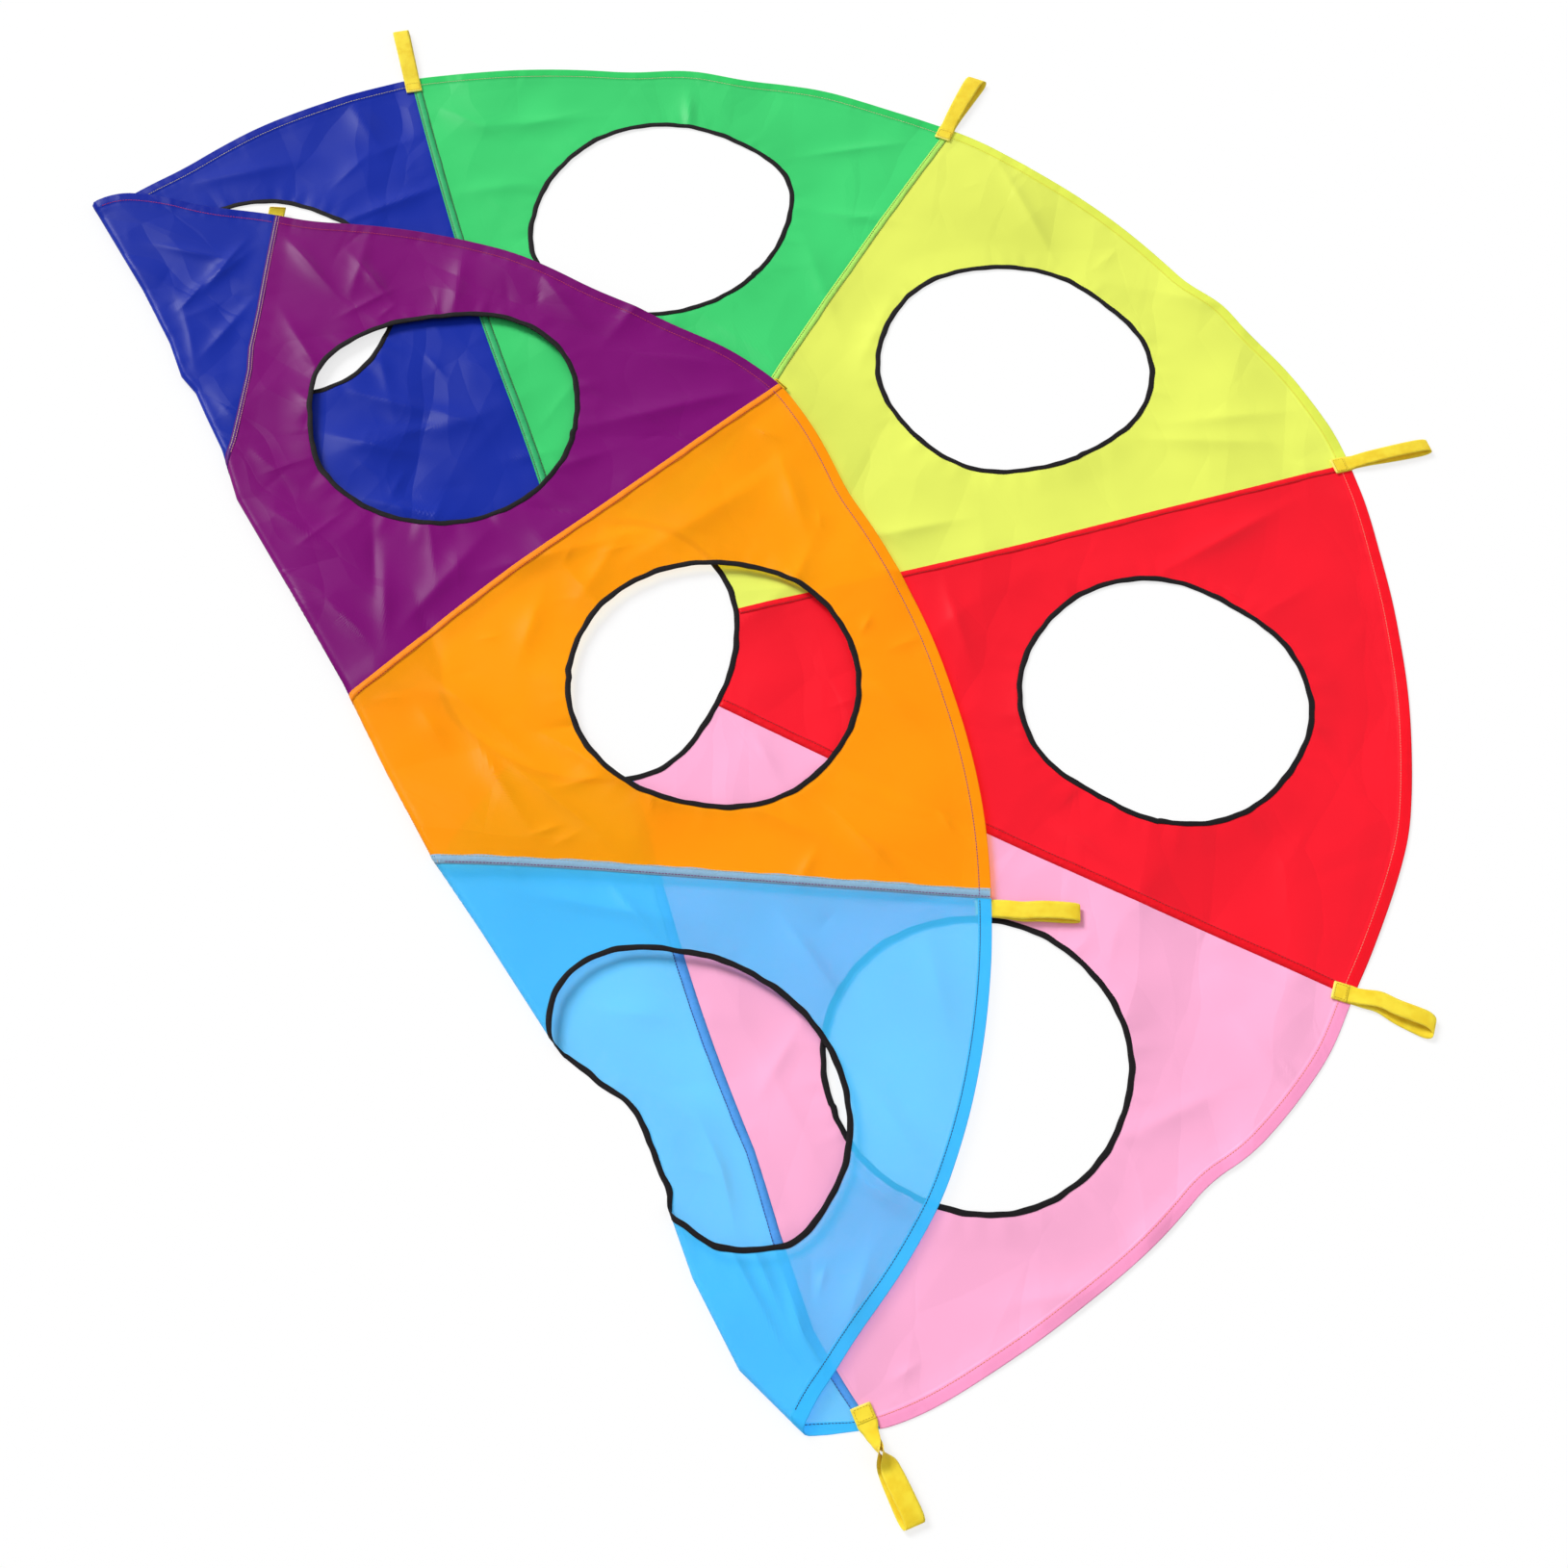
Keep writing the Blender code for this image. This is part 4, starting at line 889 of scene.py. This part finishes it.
# %% Strips along the seams
def add_strip(seam, stations=260):
    name, side, width, colour = STRIPS[seam]
    inner = float(hole_radius("middle", float(seam_angle(seam)))) + TAPE_WIDTH
    radii = np.linspace(inner, seam_end(seam) - 1 * MM, stations)
    waver = 1 + 0.05 * np.sin(60 * radii + seam) + 0.04 * np.sin(143 * radii)
    reach = np.array([-0.8 * MM, 0.5 * width * MM, width * MM])
    on_flap = seam >= FOLDED_SEAM
    levels = (-0.08, -0.10, -0.04, 0.25, 0.25, 0.25) if on_flap else (1.00, 1.02, 0.96, 0.60, 0.60, 0.60)
    reach = np.concatenate([reach, reach[::-1]]) * np.where(np.arange(6) % 5 > 0, waver[:, None], 1)
    points = np.stack([seam_point(seam, radii, side * reach[:, k]) for k in range(6)], axis=1)
    heights = np.tile(np.array(levels) * MM, (stations, 1))
    heights = np.where(past_fold(points) > 0, np.maximum(heights, 0.02 * MM), heights)
    attributes = [("flat", np.concatenate([points, heights[..., None]], -1))]
    last = (stations - 1) * 6
    caps = np.array([[0, 1, 4, 5], [1, 2, 3, 4]])
    faces = np.concatenate([tube_faces(stations, 6), caps, caps + last])
    room = lay(points, heights).reshape(-1, 3)
    return new_piece(f"allowance_{name}", room, faces, strip_finish(name, colour), attributes)


for seam in range(8):
    place_piece(add_strip(seam), False, seam >= FOLDED_SEAM)
print("strips", len(STRIPS))

# %% [markdown]
# ## Stitches
#
# A lockstitch shows as a row of short threads that dip into the cloth at their ends. Each is a small arched
# grain of thread with few faces, because there are thousands. They are worked out all at once: a row of
# grains along a path, laid on the cloth with it. The thread's colour changes from panel to panel, as it
# does on the real hem.

# %% Threads
THREADS = {
    "cream": (0.62, 0.55, 0.36), "yellow": (0.80, 0.66, 0.06), "brown": (0.050, 0.040, 0.030),
    "olive": (0.22, 0.26, 0.03), "pale_red": (0.90, 0.20, 0.15), "dark_red": (0.40, 0.005, 0.012),
    "orange": (0.88, 0.30, 0.20), "navy": (0.020, 0.030, 0.140), "crimson": (0.52, 0.02, 0.10),
    "plum": (0.20, 0.03, 0.18), "rose": (0.75, 0.28, 0.36), "gold": (0.66, 0.44, 0.01),
}


def thread_finish(name, colour):
    thread = Finish(f"thread_{name}", 0.55, sheen=0.1)
    twist = thread.noise(thread.add("ShaderNodeTexCoord", {}, {}, "Object"), 1500.0, 1.0)
    base = thread.mix(twist, shade(colour, 0.75), shade(colour, 1.15))
    return thread.finish(Base_Color=base, Normal=thread.bump(twist * 0.1))


threads = {name: thread_finish(name, colour) for name, colour in THREADS.items()}
print("threads", len(threads))


# %% Rows of stitches
def grains(path, pitch=3.4 * MM, width=1.05 * MM, tail_share=0.90, sway=0.2 * MM):
    """Flat points and heights of thread grains along a path, as arrays of grains by 5 rings by 5 points.

    A grain's middle line is an arch, its radius falls off towards its ends, and it is turned a little to
    one side."""
    reached = np.concatenate([[0], np.cumsum(np.linalg.norm(np.diff(path, axis=0), axis=1))])
    count = max(3, int(reached[-1] / pitch))
    q = np.linspace(-1, 1, 5)
    at = ((np.arange(count) + 0.5) * reached[-1] / count)[:, None] + q * pitch * tail_share / 2
    middle, ahead = (
        np.stack([np.interp(at + step, reached, path[:, axis]) for axis in (0, 1)], -1)
        for step in (0, 0.2 * MM)
    )
    run = ahead - middle
    run /= np.linalg.norm(run, axis=-1, keepdims=True) + 1e-12
    side = np.stack([-run[..., 1], run[..., 0]], -1)
    radius = width / 2 * np.sqrt(np.maximum(1 - np.abs(q) ** 3, 0.04))
    turn = np.linspace(0, 2 * math.pi, 5, endpoint=False)
    lean = sway * np.sin(np.arange(count) * 2.4)[:, None] * q
    across = radius[:, None] * np.cos(turn) + lean[..., None]
    arch = 0.20 * MM * (1 - q**2) - 0.06 * MM
    height = np.broadcast_to(arch[:, None] + radius[:, None] * 0.6 * np.sin(turn), across.shape)
    return middle[:, :, None] + across[..., None] * side[:, :, None], height


def stitch_row(name, path, thread, surface, outer=False):
    """A row of grains on the inner face, whose height is surface, or on the outer face."""
    points, height = grains(path)
    room = lay(points, surface - height if outer else surface + height).reshape(-1, 3)
    return new_piece(name, room, tube_faces(5, 5, len(points)), threads[thread])


def hem_path(panel, inset, stations=400):
    place = np.linspace(corner_place(panel) + 0.004, corner_place(panel + 1) - 0.004, stations)
    return (rim_radius(place) - inset)[:, None] * direction(seam_angle(place))


# %% Hem stitches
HEM_THREADS = {
    "green": ("cream", None), "yellow": ("yellow", None), "red": ("pale_red", None), "pink": ("orange", None),
    "sky": ("navy", "navy"), "orange": ("navy", "plum"), "purple": ("navy", "crimson"),
    "blue": ("cream", "crimson"),
}
for panel, (name, (inner, outer)) in enumerate(HEM_THREADS.items()):
    path = hem_path(panel, HEM_WIDTH - 1.8 * MM)
    row = stitch_row(f"hem_stitches_{name}", path, inner, HEM_HIGH)
    place_piece(row, name in ("orange", "purple"), name in ("sky", "blue"))
    if outer:
        turned_over = path[past_fold(path) < -FLAT_AT_FOLD]
        row = stitch_row(f"hem_outer_stitches_{name}", turned_over, outer, 0.0, outer=True)
        place_piece(row, True, False)

# %% Seam stitches
# Each row: seam, sideways place in mm (anticlockwise is positive), thread
SEAM_ROWS = (
    (0, -9.4, "brown"), (0, -1.4, "brown"), (1, -7.6, "olive"), (1, -1.0, "olive"), (2, -6.0, "dark_red"),
    (3, 9.0, "dark_red"), (4, -9.6, "navy"), (5, -9.6, "cream"), (5, -1.6, "plum"), (6, 6.8, "dark_red"),
    (7, 1.6, "cream"), (7, 5.0, "rose"),
)
for number, (seam, sideways, thread) in enumerate(SEAM_ROWS):
    inner = float(hole_radius("middle", float(seam_angle(seam)))) + TAPE_WIDTH
    radii = np.linspace(inner, seam_end(seam) - (1 if seam >= FOLDED_SEAM else 15) * MM, 300)
    path = seam_point(seam, radii, sideways * MM)
    on_flap = seam >= FOLDED_SEAM
    if on_flap:
        path = path[past_fold(path) < -FLAT_AT_FOLD]
    surface = -0.06 * MM if on_flap else 1.0 * MM
    row = stitch_row(f"seam_stitches_{number}", path, thread, surface, outer=on_flap)
    place_piece(row, on_flap, False)
print("seam rows", len(SEAM_ROWS))

# %% [markdown]
# ## Webbing loops
#
# The handles are straps of yellow webbing, doubled, with their ends turned in and sewn on the hem at each
# seam. The free length lies out on the floor as a slim open loop. A path for the strap's middle is worked
# out first: out along the upper ply, round the tip and back along the lower one, and the strap's flat
# section is carried along it.

# %% Webbing finish
STRAP, STRAP_WIDTH, LOOP_LENGTH, ROOT_LENGTH, PLY = 1.0 * MM, 20 * MM, 105 * MM, 16 * MM, 1.3 * MM
RIB, WARP = 1.1 * MM, 1.6 * MM


def webbing_finish():
    """Ribs across the strap times warp threads along it give the weave; the woven edge is paler."""
    webbing = Finish("yellow_webbing", 0.60, sheen=0.1)
    along, across = webbing.attribute("along"), webbing.attribute("across")
    rib = along.maths("SINE", along * (2 * math.pi / RIB))
    weave = rib * across.maths("SINE", across * (2 * math.pi / WARP))
    # Painted light and shade: this noise picks between a shaded gold and a lit yellow. It also adds a faint
    # bump.
    painted_light_and_bump = webbing.noise(webbing.add("ShaderNodeTexCoord", {}, {}, "Object"), 60.0)
    edge = across.distance_from(0.0).between(8.4 * MM, 9.4 * MM)
    base = webbing.mix(painted_light_and_bump.between(0.3, 0.7), (0.93, 0.66, 0.016), (1.0, 0.79, 0.040))
    base = webbing.mix(edge * 0.4, base, (1.0, 0.86, 0.10))
    base = webbing.mix(webbing.attribute("turned") * 0.8, base, (1.0, 0.90, 0.22))
    base = webbing.mix(weave.between(0.1, 0.9) * 0.22, base, (0.74, 0.50, 0.010))
    return webbing.finish(Base_Color=base, Normal=webbing.bump(weave * 0.12 + painted_light_and_bump * 0.5))


yellow_webbing = webbing_finish()
print("webbing finish ready")


# %% A strap carried along a path
class Handle:
    """Where a loop leaves the hem, the way it lies, and the strap that is carried along a path from there.
    A loop that lifts leaves the hem at its joint, and a tucked one at its seam's end."""

    def __init__(self, seam, turn_degrees, joint=None):
        rim = seam_point(seam, np.array(seam_end(seam)))
        self.on_flap = past_fold(rim) < 0
        self.rim = lay(rim, 0.0)
        if joint:
            self.rim[:2] = joint["pos_m"][:2]
        out = direction(seam_angle(seam))
        if self.on_flap:
            out = out - 2 * (out @ FOLD_NORMAL) * FOLD_NORMAL
        angle = math.atan2(out[1], out[0]) + math.radians(turn_degrees)
        self.out = direction(angle)
        self.left = np.array([-self.out[1], self.out[0]])
        stand = HEM_HIGH + 0.1 * MM + (PLY + STRAP) / 2
        self.sewn = self.root = self.rim[2] + (-stand if self.on_flap else stand)
        if joint and self.on_flap:
            self.root = joint["pos_m"][2] - (PLY + STRAP) / 2

    def level(self, u):
        """Height of the sewn end's middle. It lies on its hem; one on the flap droops to its joint at the
        rim."""
        return self.root + (self.sewn - self.root) * ease((-u - 1 * MM) / (4 * MM))

    def floor(self):
        """The height that the loop rests on: the floor, or for one on the flap the cloth that lies below
        it."""
        if not self.on_flap:
            return 0.1 * MM
        u, v = np.meshgrid(np.linspace(0, LOOP_LENGTH, 40), np.linspace(-1, 1, 9) * STRAP_WIDTH / 2)
        below = self.rim[:2] - CENTRE + u[..., None] * self.out + v[..., None] * self.left
        return float(lay(below, CLOTH_HIGH)[..., 2].max()) + 0.1 * MM

    def strap(self, name, u, v, w, roll=0.0, middle=None, narrow=1.0, turned=0.0):
        """A strap round the path (u, v, w). roll turns its section about the path's middle line, and turned
        is 1 at a turned-in end.

        The section is a flat oval of eighteen points; its face leans with the slope of the path."""
        roll, narrow = np.broadcast_to(roll, u.shape)[:, None], np.broadcast_to(narrow, u.shape)[:, None]
        middle = np.full(u.shape, self.root) if middle is None else middle
        run = np.stack([np.gradient(u), np.gradient(w)], -1)
        run /= np.linalg.norm(run, axis=-1, keepdims=True)
        across = np.linspace(-1, 1, 9)
        thick = np.where(np.abs(across) > 0.9, 0.55, 1.0)
        section_v = np.concatenate([across, across[::-1]])
        lift = np.concatenate([-thick, thick[::-1]]) * STRAP / 2
        dv = v[:, None] + section_v * STRAP_WIDTH / 2 * narrow
        du = u[:, None] - run[:, 1:] * lift
        dw = w[:, None] + run[:, :1] * lift - middle[:, None]
        turned_v = dv * np.cos(roll) - dw * np.sin(roll)
        turned_w = dv * np.sin(roll) + dw * np.cos(roll) + middle[:, None]
        xy = self.rim[:2] + du[..., None] * self.out + turned_v[..., None] * self.left
        room = np.concatenate([xy, turned_w[..., None]], -1)
        rows, columns = du.shape
        far = np.concatenate([[0], np.cumsum(np.hypot(np.diff(u), np.diff(w)))])
        k = np.arange(columns // 2 - 1)
        cap = np.stack([k, k + 1, columns - 2 - k, columns - 1 - k], -1)
        faces = np.concatenate([tube_faces(rows, columns), cap, cap + (rows - 1) * columns])
        attributes = (
            ("along", np.repeat(far, columns)), ("across", np.tile(section_v * STRAP_WIDTH / 2, rows)),
            ("turned", np.repeat(np.broadcast_to(turned, u.shape), columns)),
        )
        return new_piece(name, room.reshape(-1, 3), faces, yellow_webbing, attributes)


# %% Free lengths and sewn ends
def free_loop(handle, name, bulge=6.5 * MM, twist=False, skew=0.0, bend=0.0, flare=0.0, kink=0.0, waist=0.0,
              narrow=1.0, length_share=1.0, steps=140):
    """The free length: u runs out and back as a cosine, and the plies part as a teardrop between root and
    tip.

    skew slides the lower ply sideways towards the tip, which slants the tip; flare widens the strap; kink
    bends it sideways a third of the way out; waist draws it in near its root; twist turns it over once."""
    turn = np.linspace(0, 2 * math.pi, steps)
    length = LOOP_LENGTH * length_share
    u = 0.15 * MM + length * (1 - np.cos(turn)) / 2
    out = u / length
    open_by = PLY * np.cos(turn / 2) + bulge * np.sin(turn) * np.abs(np.sin(turn / 2)) ** 1.5 / 0.78
    rest = handle.floor() + (bulge + PLY + STRAP) / 2
    middle = handle.root + (rest - handle.root) * ease(u / (30 * MM))
    roll = math.pi * ease((out - 0.10) / 0.40) if twist else np.zeros(steps)
    middle = middle + STRAP_WIDTH / 2 * 0.9 * np.sin(roll)
    v = bend * out**2 + kink * np.exp(-(((out - 0.35) / 0.15) ** 2))
    v = v - skew * out * ease((turn / math.pi - 0.75) / 0.5)
    width = narrow + flare * out - waist * np.exp(-(((out - 0.22) / 0.18) ** 2))
    width = np.where(out < 0.1, 1 + (width - 1) * ease(out * 10), width)
    return handle.strap(name, u, v, middle + open_by / 2, roll, middle, width)


def sewn_root(handle, name):
    """The sewn end: the two plies on the hem, joined where the strap's end is turned in."""
    half = PLY / 2
    turn = np.linspace(0, math.pi, 16)
    lead = np.linspace(-0.15 * MM, half - ROOT_LENGTH, 14)[:-1]
    u = np.concatenate([lead, half - ROOT_LENGTH - half * np.sin(turn), lead[::-1]])
    w = handle.level(u) + half * np.concatenate([np.ones(13), np.cos(turn), -np.ones(13)])
    return handle.strap(name, u, np.zeros_like(u), w, turned=np.exp(-(((u - u.min()) / (1.6 * MM)) ** 2)))


# %% Box of stitches on a sewn end
def root_stitches(handle, name):
    """Grains round a box on the strap's end, in the gold thread that holds it, on the face away from the
    hem."""
    inset = 2.2 * MM
    reach, half = ROOT_LENGTH - inset, STRAP_WIDTH / 2 - inset
    box = np.array([(-inset, half), (-reach, half), (-reach, -half), (-inset, -half), (-inset, half)])
    fine = np.linspace(0, 4, 160)
    path = np.stack([np.interp(fine, range(5), box[:, k]) for k in (0, 1)], -1)
    points, height = grains(path, pitch=3.0 * MM, width=0.8 * MM)
    xy = handle.rim[:2] + points[..., :1] * handle.out + points[..., 1:] * handle.left
    z = handle.level(points[..., 0]) + ((PLY + STRAP) / 2 + height) * (-1 if handle.on_flap else 1)
    room = np.concatenate([xy, z[..., None]], -1).reshape(-1, 3)
    return new_piece(name, room, tube_faces(5, 5, len(points)), threads["gold"])


# %% The six free loops
joints = {joint["name"]: joint for joint in frame["record"]["behaviour"]["joints"]}
HANDLES = (
    ("blue_green", 0, -2.7, {"skew": 2 * MM, "length_share": 0.90}),
    ("green_yellow", 1, 5.3,
     {"bend": -3 * MM, "flare": 0.25, "narrow": 0.88, "skew": 6 * MM, "length_share": 0.96}),
    ("yellow_red", 2, -1.2, {"skew": 4 * MM, "narrow": 0.84}),
    ("red_pink", 3, 9.8,
     {"skew": 12 * MM, "bend": -4 * MM, "kink": 3 * MM, "narrow": 0.90, "length_share": 0.86}),
    ("pink_sky", 4, 5.5, {"twist": True, "waist": 0.45, "skew": 5 * MM, "length_share": 0.96}),
    ("sky_orange", 5, 0.0, {"skew": 2 * MM, "kink": -2 * MM, "length_share": 0.88}),
)
for name, seam, turn_degrees, shape in HANDLES:
    handle = Handle(seam, turn_degrees, joints[f"{name}_handle_lift"])
    sewn = sewn_root(handle, f"webbing_root_{name}")
    place_piece(sewn, handle.on_flap, False, (f"loop_{name}_root",))
    place_piece(root_stitches(handle, f"root_stitches_{name}"), handle.on_flap, False)
    loop = free_loop(handle, f"webbing_{name}", **shape)
    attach(loop, f"{name}_handle")
    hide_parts(f"loop_{name}")
print("free loops", len(HANDLES))


# %% [markdown]
# Two loops were caught under the flap when the cloth was folded. They lie pressed flat and point back under
# it, and only their sewn ends show past the hem: a sliver of yellow at one, and a short patch at the other.

# %% Tucked loops
def tucked_loop(handle, name, tip):
    half = PLY / 2
    turn = np.linspace(0, math.pi, 14)
    u = np.concatenate([tip - half + half * np.sin(turn), -LOOP_LENGTH + half - half * np.sin(turn)])
    w = handle.root + half * np.concatenate([np.cos(turn), -np.cos(turn)])
    u, w = np.append(u, tip - half - 1.5 * MM), np.append(w, handle.root + half)
    fine = np.linspace(0, len(u) - 1, 120)
    u, w = (np.interp(fine, np.arange(len(u)), values) for values in (u, w))
    return handle.strap(name, u, np.zeros_like(u), w)


TUCKED = (("orange_purple", 6, 4 * MM), ("purple_blue", 7, 15 * MM))
for name, seam, tip in TUCKED:
    loop = tucked_loop(Handle(seam, 0.0), f"webbing_{name}", tip)
    place_piece(loop, True, False, (f"loop_{name}",))
print("tucked loops", len(TUCKED))

# %% [markdown]
# ## What the cloth was cut to
#
# Each panel was cut from flat cloth as a sector with its seam and hem allowances, before it was sewn and
# folded. The cut's area is the sector's with those allowances, less the hole.

SEAM_ALLOWANCE, HEM_ALLOWANCE = 10 * MM, 19 * MM
cut_area = HALF_SECTOR * ((RADIUS + HEM_ALLOWANCE) ** 2 - MIDDLE_HOLE**2) - math.pi * HOLE_RADIUS**2
cut_area += 2 * SEAM_ALLOWANCE * (RADIUS - MIDDLE_HOLE)

# %% [markdown]
# ## Floor and light
#
# The cloth was photographed on white, in soft light. The floor looks white to the camera and still takes
# the cloth's faint shadow, and it glows only where no cloth is over it. Three soft suns light every part of
# the cloth alike, which lamps near it would not. The narrow one stands low at the far left, just past the
# place where flat cloth would mirror it towards the camera. So only folds that lean that way shine, and the
# rest keeps its colour.

# %% Floor
FLOOR_GLOW, FLOOR_SIZE = 0.72, 6.0


def white_floor():
    mesh = bpy.data.meshes.new("floor")
    corners = [(x * FLOOR_SIZE, y * FLOOR_SIZE, -0.3 * MM) for x, y in ((-1, -1), (1, -1), (1, 1), (-1, 1))]
    mesh.from_pydata(corners, [], [(0, 1, 2, 3)])
    floor = bpy.data.objects.new("floor", mesh)
    bpy.context.scene.collection.objects.link(floor)
    paint = Finish("white_floor", 0.9)
    paint.finish(Base_Color=(0.95, 0.95, 0.95, 1.0))
    glow = paint.add("ShaderNodeEmission", {}, {"Color": (1, 1, 1, 1), "Strength": 1.0})
    bare = 1 - paint.ray("Transparent Depth").between(0.0, 1.0)
    mesh.materials.append(paint.mixed(paint.seen() * bare * FLOOR_GLOW, paint.shaded(), glow))


white_floor()
print("floor", 2 * FLOOR_SIZE, "m wide")


# %% Suns and world
def sun(name, toward, spread_degrees, level):
    """A sun in a direction, whose strength gives a white floor the level."""
    toward = mathutils.Vector(toward).normalized()
    data = bpy.data.lights.new(name, "SUN")
    data.angle, data.energy = math.radians(spread_degrees), level * math.pi / toward.z
    item = bpy.data.objects.new(name, data)
    item.rotation_euler = toward.to_track_quat("Z", "Y").to_euler()
    bpy.context.scene.collection.objects.link(item)


SHEEN_LEVEL, SIDE_LEVEL, NEAR_LEVEL, WORLD_LEVEL = 0.54, 0.11, 0.09, 0.31
sun("sheen_light", (-1.45, 1.3, 1.45), 26, SHEEN_LEVEL)
sun("side_light", (1.8, -0.2, 1.9), 60, SIDE_LEVEL)
sun("near_light", (-1.5, -1.5, 2.2), 60, NEAR_LEVEL)
world = bpy.data.worlds.new("studio")
studio = Tree(world)
background = studio.nodes["Background"]
background.inputs["Color"].default_value = (1, 1, 1, 1)
studio.feed(background.inputs["Strength"], studio.seen() * (1 - WORLD_LEVEL) + WORLD_LEVEL)
bpy.context.scene.world = world
print("light on a white floor", SHEEN_LEVEL + SIDE_LEVEL + NEAR_LEVEL + WORLD_LEVEL)
